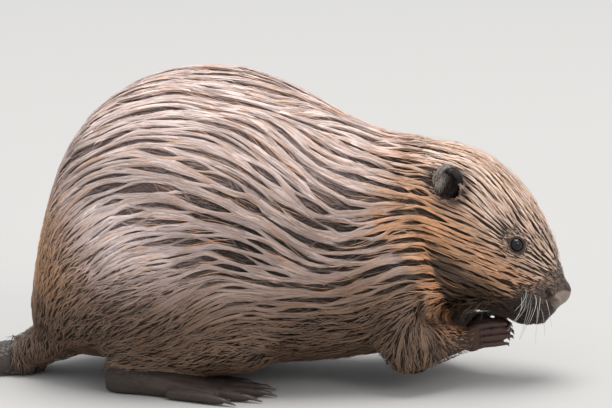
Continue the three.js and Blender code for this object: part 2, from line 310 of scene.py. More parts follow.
# A function that gives each vertex the mean of its neighbours.
def neighbours(mesh):
    edges = edgeEnds(mesh)
    count = len(mesh.vertices)
    degree = np.bincount(edges.ravel(), minlength=count).astype(float)

    def average(values):
        result = np.empty_like(values)
        for i in range(values.shape[1]):
            column = values[:, i]
            total = np.bincount(edges[:, 0], column[edges[:, 1]], count)
            total += np.bincount(edges[:, 1], column[edges[:, 0]], count)
            result[:, i] = total / np.maximum(degree, 1)
        return result

    return average


# How far a place is outside the bare pad of the nose: under 1 is on it.
def padDistance(head):
    return np.linalg.norm((head - (156, 0, 5)) / (17, 31, 12), axis=1)


# Distance from a line of points, how far along it the nearest place is, and on which side of it.
def fromLine(points, line):
    line = np.array(line, float)
    best = np.full(len(points), np.inf)
    where, side = np.zeros((2, len(points)))
    for i in range(len(line) - 1):
        step = line[i + 1] - line[i]
        t = np.clip((points - line[i]) @ step / (step @ step), 0, 1)
        gap = points - line[i] - t[:, None] * step
        far = np.linalg.norm(gap, axis=1)
        nearer = far < best
        cross = step[0] * gap[:, 1] - step[1] * gap[:, 0]
        best = np.where(nearer, far, best)
        where = np.where(nearer, (i + t) / (len(line) - 1), where)
        side = np.where(nearer, np.sign(cross), side)
    return best, where, side


def nostrilDistance(head):
    return fromLine(mirrored(head), skin["nostril"])[0]


# Head places seen from the eye of their own side: along the eye's axis, and along and across its lids.
def aroundEye(head):
    side = sideOf(head)
    axis = unit(np.stack([np.full(len(head), 0.2), 0.95 * side, np.full(len(head), 0.22)], 1))
    offset = head - anatomy["eye"] * yFactors(side)
    tilt = lids["tilt"]
    along = np.tile((math.cos(tilt), 0, math.sin(tilt)), (len(head), 1))
    along = unit(along - axis * np.sum(along * axis, 1, keepdims=True))
    up = np.cross(along, axis) * -side[:, None]
    up *= np.sign(up[:, 2:3])
    local = np.stack([np.sum(offset * way, 1) for way in (axis, along, up)], 1)
    return local, axis, along, up


# How many openings away from the middle of the eye a place is: 1 is the rim of the lids.
def lidDistance(head):
    local = aroundEye(head)[0]
    far = np.hypot(local[:, 1] / lids["long"], local[:, 2] / lids["high"])
    return np.where(local[:, 0] > -8, far, 99)


# Divides the edges between the wanted vertices, and drops faces that hang on nothing.
def finer(mesh, wanted, cuts):
    bm = bmesh.new()
    bm.from_mesh(mesh)
    bm.verts.ensure_lookup_table()
    edges = [edge for edge in bm.edges if wanted[edge.verts[0].index] and wanted[edge.verts[1].index]]
    bmesh.ops.subdivide_edges(bm, edges=edges, cuts=cuts, use_grid_fill=True)
    bmesh.ops.triangulate(bm, faces=[face for face in bm.faces if len(face.verts) > 4])
    stray = [face for face in bm.faces if all(len(vert.link_faces) < 3 for vert in face.verts)]
    bmesh.ops.delete(bm, geom=stray, context="FACES")
    bm.to_mesh(mesh)
    bm.free()


# Thins the mesh, apart from the hands, the ears and the face.
def thin(body, owner):
    keep = np.isin(owner, ["hand", "ear", "nose"])
    keep |= (owner == "head") & (toHead(toBody(meshCoords(body.data)))[:, 0] > 62)
    group = body.vertex_groups.new(name="thinned")
    group.add(np.flatnonzero(~keep).tolist(), 1.0, "REPLACE")
    now = triangleCount(body.data)
    thinner = body.modifiers.new("thin", "DECIMATE")
    thinner.ratio = min(1, skin["triangles"] / now)
    thinner.vertex_group = "thinned"
    bake(body)
    body.vertex_groups.clear()
    print("skin thinned from", now, "triangles to", triangleCount(body.data))


# How high over the middle of the eye the skin stands, for each place round the lids.
def lidHeight(local, q):
    across = np.hypot(local[:, 1], local[:, 2]) / np.maximum(q, 0.1)
    rim = np.sqrt(np.maximum(anatomy["eyeRadius"] ** 2 - across**2, 1)) + lids["thickness"]
    turn = np.arctan2(local[:, 2], local[:, 1])
    upper, lower = np.sin(turn), -np.sin(turn)
    height = rim - 0.5 * smooth(1.25, 2.4, q)
    height -= 0.9 * np.exp(-(((q - 1.62) / 0.1) ** 2)) * smooth(-0.4, 0.5, upper)
    height -= 0.6 * np.exp(-(((q - 1.5) / 0.08) ** 2)) * smooth(-0.2, 0.6, lower)
    behind = smooth(-0.3, 0.5, lower) * smooth(-0.5, 0.6, np.cos(turn))
    height -= 0.5 * np.exp(-(((q - 1.95) / 0.1) ** 2)) * behind
    return np.where(q < 1.06, mix(1.0, rim, smooth(0.93, 1.05, q)), height)


# Lids, lips, ear folds and the fold behind the cheek.
def sculpt(co, normals, owner):
    body = toBody(co)
    head = toHead(body)
    u, v, w = head.T

    def push(amount):
        body[:] += normals * amount[:, None]

    far, where, _ = fromLine(body[:, [0, 2]], skin["crease"])
    fold = np.exp(-((far / 8) ** 2)) * smooth(0, 0.25, where) * smooth(40, 60, np.abs(body[:, 1]))
    push(-skin["creaseDepth"] * fold)

    far, where, side = fromLine(head[:, [0, 2]], skin["mouth"])
    onMuzzle = np.isin(owner, ["head", "nose"]) * smooth(1, 0.85, where) * (far < 12)
    slit = np.exp(-((far / 1.3) ** 2)) * onMuzzle
    lip = np.exp(-(((far - 3.6) / 2.4) ** 2)) * onMuzzle * np.where(side < 0, 1.3, 0.7)
    push(lip * 0.9 - slit * skin["mouthDepth"])
    push(1.5 * (owner == "head") * np.exp(-(((u - 140) / 13) ** 2) - ((w + 15) / 10) ** 2))  # lip pads
    # the hollow below the eye and ahead of it
    push(-2.2 * (owner == "head") * bump(u, w, 118, 6, 20, 9) * smooth(14, 30, np.abs(v)))

    hollow = nostrilDistance(head)
    push(-skin["nostrilDepth"] * np.exp(-((hollow / 2.5) ** 2)))
    push(1.5 * np.exp(-(((hollow - 4.6) / 1.7) ** 2)) * smooth(-4, 4, w))
    push(-1.6 * np.exp(-((v / 1.2) ** 2)) * smooth(150, 158, u) * smooth(8, 0, w))  # the cleft
    push(-hand["groove"] * fingerGaps(body, owner))

    local, axis, _, _ = aroundEye(head)
    q = lidDistance(head)
    near = (q < lids["reach"] + 1) & (owner == "head")
    lifted = mix(lidHeight(local, q), local[:, 0], smooth(1.35, lids["reach"], q))
    body += np.where(near, lifted - local[:, 0], 0)[:, None] * axis @ np.array(headTurn).T

    inEar = owner == "ear"
    earU, earW = u - anatomy["ear"][0], w - anatomy["ear"][2]
    sink = inEar * (15 * smooth(-5, 13, earU + 0.25 * earW) + 3 * smooth(-4, -16, earW))
    body[:, 1] -= np.sign(v) * sink
    facing = normals @ (0.55, 0, 0.1) + np.abs(normals[:, 1]) * np.sign(v * normals[:, 1])
    folds = bump(earU, earW, 7, -6, 2.2, 9) + bump(earU, earW, 1.5, -9, 2, 7)
    push(3.2 * inEar * smooth(0.15, 0.6, facing) * folds)
    body[:, 2] = np.maximum(body[:, 2], 0)
    return body * mm + (rump, 0, 0)


def softNormals(mesh, average):
    normals = meshNormals(mesh)
    for _ in range(3):
        normals = unit(average(normals))
    return normals


def makeSkin():
    bm, owners = fleshMesh()
    finder = BVHTree.FromBMesh(bm)
    body = fromBmesh("skin", bm)
    remesh = body.modifiers.new("close", "REMESH")
    remesh.mode = "VOXEL"
    remesh.voxel_size = skin["voxel"] * mm
    bake(body)
    co = meshCoords(body.data)
    owner = np.array([partOf(owners[finder.find_nearest(point)[2]]) for point in co])
    depth = np.array([skin["depth"].get(part, 0) for part in owner], float)
    softness = np.array([skin["soft"].get(part, 1) for part in owner], float)
    u = toHead(toBody(co))[:, 0]
    skull, muzzle, start, end = skin["depthOnHead"]
    depth = np.where(owner == "head", mix(skull, muzzle, smooth(start, end, u)), depth)[:, None]
    average = neighbours(body.data)
    share = average(average(softness[:, None]))
    for _ in range(skin["rounds"]):
        co = mix(co, average(co), 0.55 * share)
    for _ in range(8):
        depth = average(depth)
    setCoords(body.data, co)
    co -= softNormals(body.data, average) * depth * mm
    co = mix(co, average(co), 0.5 * share)
    setCoords(body.data, co)
    tree = pointTree(co)
    thin(body, owner)
    finer(body.data, lidDistance(toHead(toBody(meshCoords(body.data)))) < lids["reach"] + 0.3, 2)
    co = meshCoords(body.data)
    head = toHead(toBody(co))
    far = fromLine(head[:, [0, 2]], skin["mouth"])[0]
    fingers = toBody(co)[:, 0] > hand["knuckles"][0] - 12
    fingers &= owner[[tree.find(point)[1] for point in co]] == "hand"
    finer(body.data, (far < 7) & (head[:, 0] > 100) | (nostrilDistance(head) < 9) | fingers, 1)
    co = meshCoords(body.data)
    owner = owner[[tree.find(point)[1] for point in co]]
    normals = softNormals(body.data, neighbours(body.data))
    setCoords(body.data, sculpt(co, normals, owner))
    print("skin", len(body.data.vertices), "vertices,", triangleCount(body.data), "triangles")
    return body, owner


skinPiece, skinOwner = makeSkin()
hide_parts(*flesh)
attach(skinPiece, "root")

# Angles are degrees above the horizontal towards the nose, as seen from the side and a little
# above. The hair points the other way, towards the rump.
lie = {
    "above": math.radians(11.5),
    "rump": (64, 47),  # how much steeper the hair is at the rump, and over what length that fades
    "back": 12,
    # angle; place; reach behind, ahead, up and down, and down behind
    "flankDip": (-50, 262, 143, 94, 88, 83, 38),
    "elbow": (392, 36, 21, 36),  # where the hair of the arm falls straight down
    "shoulderRise": (27, 352, 76, 42, 42),  # angle, place, reach along and up
    "kneeRise": (12, 170, 20, 45, 32),
    "creaseFall": (-30, 404, 62, 20, 34),
    "cheek": -21,
    "crown": -53,
    "nape": -9,
}


def angleOfCoat(body, owner):
    x = body[:, 0]
    h = (body[:, 2] - 48) * math.cos(lie["above"]) - np.abs(body[:, 1]) * math.sin(lie["above"])
    steeper, fade = lie["rump"]
    angle = lie["back"] + steeper * np.exp(-(x - 20) / fade)
    dip, centreX, centreH, behind, ahead, reachH, lowBehind = lie["flankDip"]
    reachX = np.where(x < centreX, behind, ahead)
    down = mix(lowBehind, reachH, smooth(150, 240, x))
    angle += dip * bump(x, h, centreX, centreH, reachX, np.where(h < centreH, down, reachH))
    for name in ("shoulderRise", "kneeRise", "creaseFall"):
        angle += lie[name][0] * bump(x, h, *lie[name][1:])
    u, _, w = toHead(body).T
    crown = smooth(5, 50, w) * smooth(-35, 50, u)
    head = mix(lie["cheek"], lie["crown"], crown)
    head = mix(head, lie["nape"], smooth(25, -50, u) * smooth(0, 30, w))
    angle = mix(angle, head, (owner == "head") * smooth(-70, -20, u))
    return np.radians(np.clip(angle, -75, 88))


# The way the hair runs at each place, as unit vectors in the surface.
def lieOfCoat(body, normals, owner):
    angle = angleOfCoat(body, owner)
    left = np.where(body[:, 1] > 0, -1, 1)  # the left side is worked out as its mirror image
    sine, cosine = math.sin(lie["above"]), math.cos(lie["above"])
    rightNormals = normals * yFactors(left)
    flow = np.stack([-np.cos(angle), -np.sin(angle) * sine, -np.sin(angle) * cosine], 1)
    inward = np.array([0, cosine, -sine])
    facing = np.minimum(rightNormals @ inward, -0.3)
    flow += inward * (-np.sum(flow * rightNormals, 1) / facing)[:, None]
    flow = unit(flow)
    flow[:, 1] *= left * smooth(2, 40, np.abs(body[:, 1]))
    chest = smooth(0.2, 0.8, normals[:, 0]) * (owner != "head") * smooth(62, 38, np.abs(body[:, 1]))
    flow = mix(unit(flow), np.array([0.0, 0, -1]), chest[:, None])
    belly = smooth(-0.5, -0.9, normals[:, 2])
    flow = mix(flow, np.array([-1.0, 0, 0]), belly[:, None])
    earUp = np.array(headTurn) @ (-0.35, 0, 0.94)
    ways = {"forearm": (0.8, -0.55, 0.05), "hand": (0.9, -0.4, 0), "lower_leg": (-0.95, 0, -0.3)}
    ways.update({"hind_foot": (1, 0.1, -0.3), "ear": (earUp[0], 0.1, earUp[2])})
    for part, way in ways.items():
        along = np.tile(way, (len(angle), 1))
        along[:, 1] *= np.sign(body[:, 1])
        flow = np.where((owner == part)[:, None], along, flow)
    elbow = ~np.isin(owner, ["head", "hand"]) * bump(body[:, 0], body[:, 2], *lie["elbow"])
    flow = mix(unit(flow), np.array([0.15, 0, -1.0]), np.minimum(1.2 * elbow, 1)[:, None])
    flow -= normals * np.sum(flow * normals, 1, keepdims=True)
    return unit(flow)


# Colours of the hair tips, and of the depth between the locks; the dark of the depth is partly the
# underfur's own colour and partly painted shade in the coat.
furColours = {
    # paler on the top of the back: partly the coat's own colour, partly painted reflection of the sky on
    # the wet hair
    "hump": ((0.67, 0.53, 0.485), (0.32, 0.235, 0.215)),
    "flank": ((0.44, 0.33, 0.292), (0.034, 0.021, 0.016)),
    "shoulder": ((0.50, 0.355, 0.30), (0.030, 0.018, 0.013)),
    "haunch": ((0.43, 0.32, 0.285), (0.23, 0.165, 0.142)),
    # painted sheen: pale colours that stand in for the sky's reflection on the wet hair of the haunch top
    "paintedSheen": ((0.76, 0.62, 0.59), (0.30, 0.22, 0.20)),
    "rump": ((0.55, 0.32, 0.185), (0.15, 0.085, 0.052)),
    "arm": ((0.39, 0.245, 0.175), (0.05, 0.028, 0.018)),
    # painted shade: the lower body and the underside are darker, to offset the light that the pale floor
    # throws up
    "low": ((0.285, 0.185, 0.140), (0.105, 0.065, 0.047)),
    "under": ((0.175, 0.108, 0.070), (0.040, 0.023, 0.016)),
    "cheek": ((0.60, 0.335, 0.195), (0.030, 0.017, 0.011)),
    "crown": ((0.68, 0.495, 0.395), (0.065, 0.042, 0.032)),
    "crease": ((0.60, 0.30, 0.15), (0.05, 0.026, 0.014)),
    "muzzle": ((0.25, 0.18, 0.14), (0.045, 0.032, 0.026)),
    "lip": ((0.105, 0.085, 0.075), (0.03, 0.022, 0.019)),
    # painted shadow: near-black under the chin and on the chest between the chin and the arms
    "throatShadow": ((0.066, 0.036, 0.019), (0.014, 0.008, 0.005)),
    "foot": ((0.075, 0.055, 0.045), (0.05, 0.036, 0.03)),
    "ear": ((0.06, 0.043, 0.035), (0.014, 0.009, 0.007)),
    "earShade": ((0.16, 0.09, 0.06), (0.02, 0.013, 0.01)),
    "earRim": ((0.52, 0.46, 0.44), (0.10, 0.08, 0.07)),
    # near-black in the cup of the ear: partly the ear's own dark skin, partly painted shade in the hollow
    "earInside": ((0.012, 0.008, 0.006), (0.005, 0.003, 0.003)),
    "lid": ((0.03, 0.022, 0.018), (0.018, 0.013, 0.011)),
    "nose": ((0.13, 0.105, 0.09), (0.25, 0.195, 0.16)),
    "noseLow": ((0.05, 0.04, 0.036), (0.085, 0.066, 0.058)),
    # painted shade: near-black in the hollows of the nostrils
    "nostril": ((0.02, 0.012, 0.01), (0.012, 0.007, 0.006)),
    "finger": ((0.07, 0.036, 0.028), (0.062, 0.030, 0.023)),
    # painted shade: near-black in the grooves between the fingers
    "fingerGap": ((0.006, 0.004, 0.003), (0.006, 0.004, 0.003)),
}


# How far along the head a place is; the dark fur of the muzzle starts further on along its top, which keeps
# the top paler: partly the fur's own colour, partly painted sky light.
def muzzlePlace(head):
    return head[:, 0] - 0.2 * head[:, 2] - 9 * smooth(-6, 14, head[:, 2])


# How deep inside the cup of an ear a place is, in mm from its outer side.
def earHollow(head):
    return (mirrored(head) - anatomy["ear"]) @ (0.42, 0.9, 0.05) + 1.5


def zoneColours(body, owner):
    x, _, z = body.T
    head = toHead(body)
    u, _, w = head.T
    onHead = (owner == "head").astype(float)
    hollow = earHollow(head)
    onNose = np.isin(owner, ["nose", "head"]) * smooth(1.08, 0.95, padDistance(head))
    layers = [  # each zone is laid over those before it
        ("flank", np.ones_like(x)),
        # paler on the top of the back: partly the coat's own colour, partly painted sky reflection
        ("hump", smooth(170, 252, z + 0.12 * (x - 170))),
        ("shoulder", smooth(270, 360, x - 0.5 * (z - 150))),
        ("haunch", smooth(225, 125, z + 0.7 * np.maximum(x - 100, -60)) * smooth(330, 230, x)),
        # painted sheen: a pale patch for the sky's reflection on the top of the haunch
        ("paintedSheen", bump(x, z, 95, 158, 44, 36)),
        # painted shade: darker towards the bottom of the body
        ("low", smooth(150, 70, z) * smooth(370, 250, x)),
        ("rump", smooth(90, 15, x + 0.25 * np.maximum(z - 120, 0)) * band(z, 20, 75, 150, 250)),
        ("arm", smooth(135, 95, z) * smooth(300, 350, x) * (owner != "head")),
        # painted shade on the underside of the body
        ("under", smooth(mix(120, 158, smooth(230, 350, x)), mix(58, 78, smooth(230, 350, x)), z)),
        ("cheek", np.isin(owner, ["head", "neck"]) * smooth(-95, -5, u - 14 * waves(body, 30, 6))),
        ("crown", onHead * smooth(2, 38, w + 0.12 * (u - 40)) * smooth(-90, -40, u)),
        ("crease", smooth(26, 6, np.abs(x - 412 + 0.28 * (z - 120))) * band(z, 40, 70, 165, 205)),
        ("muzzle", onHead * smooth(108, 130, muzzlePlace(head) + 4 * waves(body, 12, 4))),
        ("lip", onHead * smooth(112, 122, u) * smooth(2, -14, w)),
        # painted shadow under the chin and jaw, and on the chest between the chin and the forearms
        ("throatShadow", onHead * smooth(-8, -30, w) * smooth(-30, 15, u)),
        ("throatShadow", smooth(395, 425, x) * smooth(95, 75, z) * (owner != "forearm")),
        ("foot", np.isin(owner, ["hind_foot", "tail"]).astype(float)),
        ("finger", (owner == "hand") * smooth(434, 452, x)),
        # painted shade in the grooves between the fingers
        ("fingerGap", fingerGaps(body, owner)),
        ("ear", (owner == "ear").astype(float)),
        ("earShade", 0.7 * onHead * smooth(24, 17, np.hypot(u + 4, w - 31)) * smooth(-20, 0, u)),
        # the cup of the ear: partly its own dark skin, partly painted shade in the hollow
        ("earInside", (owner == "ear") * smooth(-0.5, 1.5, hollow)),
        ("earRim", (owner == "ear") * smooth(4, 1, hollow) * smooth(-9, -16, u + 0.2 * (w - 35))),
        ("earRim", (owner == "ear") * 0.15 * smooth(45, 51, w)),
        ("lid", onHead * smooth(1.16, 1.04, lidDistance(head))),
        ("nose", onNose),
        ("noseLow", onNose * smooth(6, -8, w)),
        # painted shade in the nostril hollows
        ("nostril", smooth(3.6, 1.6, nostrilDistance(head))),
    ]
    colours = np.zeros((2, len(x), 3))
    for zone, weight in layers:
        colours = mix(colours, np.array(furColours[zone])[:, None], weight[:, None])
    return colours


def addColour(mesh, name, colours):
    layer = mesh.color_attributes.new(name, "FLOAT_COLOR", "POINT")
    rgba = np.ones((len(colours), 4), np.float32)
    rgba[:, :3] = colours
    layer.data.foreach_set("color", rgba.ravel())


skinCo = meshCoords(skinPiece.data)
skinBody = toBody(skinCo)
skinNormal = meshNormals(skinPiece.data)
addColour(skinPiece.data, "depthColour", zoneColours(skinBody, skinOwner)[1])


# Adds a node: an input given as a socket is linked to it, and any other value is set.
def addNode(tree, kind, inputs, **settings):
    node = tree.nodes.new(kind)
    for setting, value in settings.items():
        setattr(node, setting, value)
    for name, value in inputs.items():
        if isinstance(value, bpy.types.NodeSocket):
            tree.links.new(value, node.inputs[name])
        else:
            node.inputs[name].default_value = value
    return node.outputs


def multiplyAdd(tree, value, factor, extra):
    inputs = {0: value, 1: factor, 2: extra}
    return addNode(tree, "ShaderNodeMath", inputs, operation="MULTIPLY_ADD")["Value"]


def tinted(tree, share, colour, factor):
    inputs = {"Factor": share, "A": colour, "B": factor}
    return addNode(tree, "ShaderNodeMix", inputs, data_type="RGBA", blend_type="MULTIPLY")["Result"]


# Every grain takes a colour, a roughness and numbers of its own, and puts out what the shader needs.
def newGrain(name, numbers):
    group = bpy.data.node_groups.new(name, "ShaderNodeTree")
    group.interface.new_socket("Colour", in_out="INPUT", socket_type="NodeSocketColor")
    for number in (*numbers, "Roughness"):
        group.interface.new_socket(number, in_out="INPUT", socket_type="NodeSocketFloat")
    group.interface.new_socket("Colour", in_out="OUTPUT", socket_type="NodeSocketColor")
    for number in ("Roughness", "Height"):
        group.interface.new_socket(number, in_out="OUTPUT", socket_type="NodeSocketFloat")
    return group, group.nodes.new("NodeGroupInput").outputs


# Fine streaks along each hair.
def makeHairGrain():
    group, given = newGrain("hair grain", ["Streaks"])
    strand = addNode(group, "ShaderNodeAttribute", {}, attribute_name="strand")["Vector"]
    streak = addNode(group, "ShaderNodeTexNoise", {"Scale": 2.2, "Detail": 4, "Vector": strand})["Fac"]
    spread = {"From Min": 0.3, "From Max": 0.7, "To Min": 0.72, "To Max": 1.16, "Value": streak}
    spread = addNode(group, "ShaderNodeMapRange", spread)["Result"]
    made = {
        "Colour": tinted(group, given["Streaks"], given["Colour"], spread),
        "Roughness": multiplyAdd(group, streak, 0.22, given["Roughness"]),
        "Height": streak,
    }
    addNode(group, "NodeGroupOutput", made)
    return group


# Small leathery cells, darker along the seams between them, on an object's own coordinates.
def makeLeatherGrain():
    group, given = newGrain("leather grain", ["Cells", "Depth"])
    place = addNode(group, "ShaderNodeTexCoord", {})["Object"]
    cells = {"Vector": place, "Scale": given["Cells"]}
    cells = addNode(group, "ShaderNodeTexVoronoi", cells, feature="DISTANCE_TO_EDGE")["Distance"]
    blotch = addNode(group, "ShaderNodeTexNoise", {"Scale": 90, "Detail": 6, "Vector": place})["Fac"]
    seam = addNode(group, "ShaderNodeMapRange", {"From Max": 0.16, "Value": cells})["Result"]
    mottled = multiplyAdd(group, blotch, 0.5, multiplyAdd(group, seam, 0.35, 0.55))
    deep = multiplyAdd(group, seam, given["Depth"], 0)
    made = {
        "Colour": tinted(group, 1, given["Colour"], mottled),
        "Roughness": multiplyAdd(group, blotch, 0.3, given["Roughness"]),
        "Height": multiplyAdd(group, blotch, 0.4, deep),
    }
    addNode(group, "NodeGroupOutput", made)
    return group


def newMaterial(name, **values):
    material = bpy.data.materials.new(name)
    material.use_nodes = True
    shader = material.node_tree.nodes["Principled BSDF"]
    for socket, value in values.items():
        shader.inputs[socket.replace("_", " ")].default_value = value
    return material, material.node_tree, shader.inputs


def addBump(tree, inputs, height, strength, depth):
    values = {"Strength": strength, "Distance": depth * mm, "Height": height}
    tree.links.new(addNode(tree, "ShaderNodeBump", values)["Normal"], inputs["Normal"])


hairGrain = makeHairGrain()
leatherGrain = makeLeatherGrain()
# Numbers for the grain, depth of the bump in mm, and specular level.
finishes = {
    "wet fur": ({"Streaks": 1.0, "Roughness": 0.3}, 0.25, 0.4),
    "fur base": ({"Cells": 780.0, "Depth": 0.4, "Roughness": 0.34}, 0.3, 0.3),
    "claw": ({"Streaks": 0.8, "Roughness": 0.24}, 0.2, 0.55),
    "whisker": ({"Streaks": 0.5, "Roughness": 0.25}, 0.05, 0.6),
    "tail scales": ({"Cells": 1300.0, "Depth": 0.25, "Roughness": 0.34}, 0.12, 0.5),
}


def makeFinish(name):
    numbers, depth, specular = finishes[name]
    grain, colours = (leatherGrain, "depthColour") if "Cells" in numbers else (hairGrain, "hairColour")
    material, tree, inputs = newMaterial(name, Specular_IOR_Level=specular)
    own = addNode(tree, "ShaderNodeAttribute", {}, attribute_name=colours)["Color"]
    made = addNode(tree, "ShaderNodeGroup", {**numbers, "Colour": own}, node_tree=grain)
    tree.links.new(made["Colour"], inputs["Base Color"])
    tree.links.new(made["Roughness"], inputs["Roughness"])
    addBump(tree, inputs, made["Height"], 0.8, depth)
    return material


materials = {name: makeFinish(name) for name in finishes}
print("materials", len(materials))


def finish(name, mesh, material):
    mesh.materials.append(materials[material])
    piece = addObject(name, mesh)
    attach(piece, "root")


skinPiece.data.materials.clear()
skinPiece.data.materials.append(materials["fur base"])

# Locks per square centimetre; length, width and height over the skin in mm; raggedness in
# degrees; points along each lock; how far the tips lift off in mm; how round a lock is.
coatColumns = ("density", "length", "width", "height", "ragged", "steps", "lift", "ridge")
coat = {
    "body": (4.8, 62, 2.6, 6, 1.5, 8, 0, 0.13),
    "strands": (5.6, 42, 0.6, 6.7, 2.5, 6, 0.1, 0.3),
    "haunch": (14, 18, 0.85, 6.2, 13, 4, 0.5, 0.35),
    "beard": (22, 30, 1.7, 8, 14, 5, 22, 0.35),
    "under": (8, 30, 1.3, 5.5, 8, 5, 0.8, 0.35),
    "head": (17, 29, 1.35, 4.4, 1.5, 6, 0, 0.2),
    "muzzle": (58, 9, 0.55, 1.1, 9, 4, 0.1, 0.3),
    "ear": (42, 7, 0.6, 0.5, 14, 4, 1.2, 0.4),
    "fringe": (46, 8.5, 0.55, 0.8, 12, 4, 3.5, 0.4),
    "fuzz": (16, 7, 0.6, 0.7, 14, 4, 0.3, 0.4),
    "guard": (0.6, 44, 0.7, 7.2, 7, 6, 0.5, 0.4),
    "underfur": (9, 15, 0.9, 2.4, 9, 4, 0.4, 0.4),
}
coat = {name: dict(zip(coatColumns, row)) for name, row in coat.items()}
trianglesPerPiece = 170000
skinPiece.data.calc_loop_triangles()
triangles = np.array([tri.vertices[:] for tri in skinPiece.data.loop_triangles])
polygonCorners = np.array([(list(p.vertices) + list(p.vertices))[:4] for p in skinPiece.data.polygons])
ownerNames, ownerIndex = np.unique(skinOwner, return_inverse=True)


# A finder of places on some of the skin's faces.
def skinFinder(wanted):
    faces = np.flatnonzero(wanted[polygonCorners].all(1))
    corners = polygonCorners[faces]
    polygons = [tuple(skinPiece.data.polygons[i].vertices) for i in faces]
    return BVHTree.FromPolygons(skinCo.tolist(), polygons), corners


bareEars = skinFinder(skinOwner != "ear")
wholeSkin = skinFinder(np.ones(len(skinOwner), bool))


# The nearest place on the skin, its smooth normal and the part that it belongs to.
def onSkin(points, finder=bareEars):
    flat = points.reshape(-1, 3)
    place, normal, face = np.empty_like(flat), np.empty_like(flat), np.empty(len(flat), int)
    tree, known = finder
    for i, point in enumerate(flat):
        place[i], normal[i], face[i], _ = tree.find_nearest(point)
    corners = known[face]
    gap = np.linalg.norm(skinCo[corners] - place[:, None], axis=2)
    weight = 1 / (gap + 1e-5)
    weight /= weight.sum(1, keepdims=True)
    normal = unit((skinNormal[corners] * weight[..., None]).sum(1))
    shape = points.shape
    return place.reshape(shape), normal.reshape(shape), ownerIndex[corners[:, 0]].reshape(shape[:-1])


def turned(vectors, axes, angles):
    cos, sin = np.cos(angles)[:, None], np.sin(angles)[:, None]
    upright = axes * np.sum(axes * vectors, 1, keepdims=True)
    return vectors * cos + np.cross(axes, vectors) * sin + upright * (1 - cos)


# Follows the lie of the coat from each root; returns places on the skin, normals and directions.
def follow(roots, lengths, ragged, steps, backwards=False, rng=None, finder=bareEars):
    place, normal, part = onSkin(roots, finder)
    angle = rng.normal(size=len(roots)) * np.radians(ragged) if rng is not None else np.zeros(len(roots))
    path, normals, ways = [], [], []
    for _ in range(steps):
        body = toBody(place)
        way = lieOfCoat(body, normal, ownerNames[part])
        way = turned(way, normal, angle + np.radians(6) * waves(body, 70, 5) * (toHead(body)[:, 0] < -20))
        path.append(place)
        normals.append(normal)
        ways.append(way)
        stride = (lengths / (steps - 1))[:, None] * mm
        place, normal, part = onSkin(place + way * stride * (-1 if backwards else 1), finder)
    return np.stack(path, 1), np.stack(normals, 1), np.stack(ways, 1)


# Places at random on the skin, by how many there are per square centimetre at each vertex.
def scatter(density, seed):
    rng = np.random.default_rng(seed)
    corners = skinCo[triangles]
    sideA, sideB = corners[:, 1] - corners[:, 0], corners[:, 2] - corners[:, 0]
    weight = np.linalg.norm(np.cross(sideA, sideB), axis=1) / 2 * density[triangles].mean(1)
    count = int(weight.sum() * 1e4)
    pick = rng.choice(len(triangles), count, p=weight / weight.sum())
    a, b = rng.random((2, count))
    flip = a + b > 1
    a[flip], b[flip] = 1 - a[flip], 1 - b[flip]
    return corners[pick, 0] + a[:, None] * sideA[pick] + b[:, None] * sideB[pick]


# Wet hair draws together into mats, with long partings between them.
partings = {
    "margin": 1.4,  # how far the hair beside a parting is pressed together, in half widths
    "tries": 9,
    "overlap": 0.5,  # how close two on one line may lie, in half lengths
    "strays": 0.03,  # share of the hairs that fall back across the partings
    "points": 13,  # places along each
    # per square centimetre, half length, half width and least distance apart in mm
    "flank": (0.7, 36, 4.6, 2.0),
    "hump": (0.45, 50, 2.9, 3.2),
    "haunch": (0.2, 11, 0.9, 1.6),
    "neck": (1.0, 28, 3.1, 2.0),
    "head": (1.4, 33, 1.5, 2.3),
}


# How short and even the coat is: on the haunch, the belly and the arm.
def calmness(x, z):
    arm = 17 * smooth(290, 340, x)
    haunch = smooth(205, 145, z + 0.7 * np.maximum(x - 100, -60)) * smooth(345, 240, x)
    return np.maximum(haunch, 0.92 * smooth(106 + arm, 76 + arm, z))


def partingPlan(body, owner):
    x, z = body[:, 0], body[:, 2]
    u = toHead(body)[:, 0]
    plan = np.tile(partings["flank"], (len(x), 1))
    plan = mix(plan, np.array(partings["hump"]), smooth(190, 250, z)[:, None])
    calm = calmness(x, z)
    plan = mix(plan, np.array(partings["haunch"]), calm[:, None])
    plan = mix(plan, np.array(partings["neck"]), (smooth(320, 370, x) * smooth(90, 130, z))[:, None])
    plan = mix(plan, np.array(partings["head"]), ((owner == "head") * smooth(-45, -10, u))[:, None])
    plan[:, 0] *= np.isin(owner, ["head", "neck", "trunk", "thigh", "upper_arm"]) & (u < 128)
    plan[:, 0] *= lidDistance(toHead(body)) > 2
    return plan


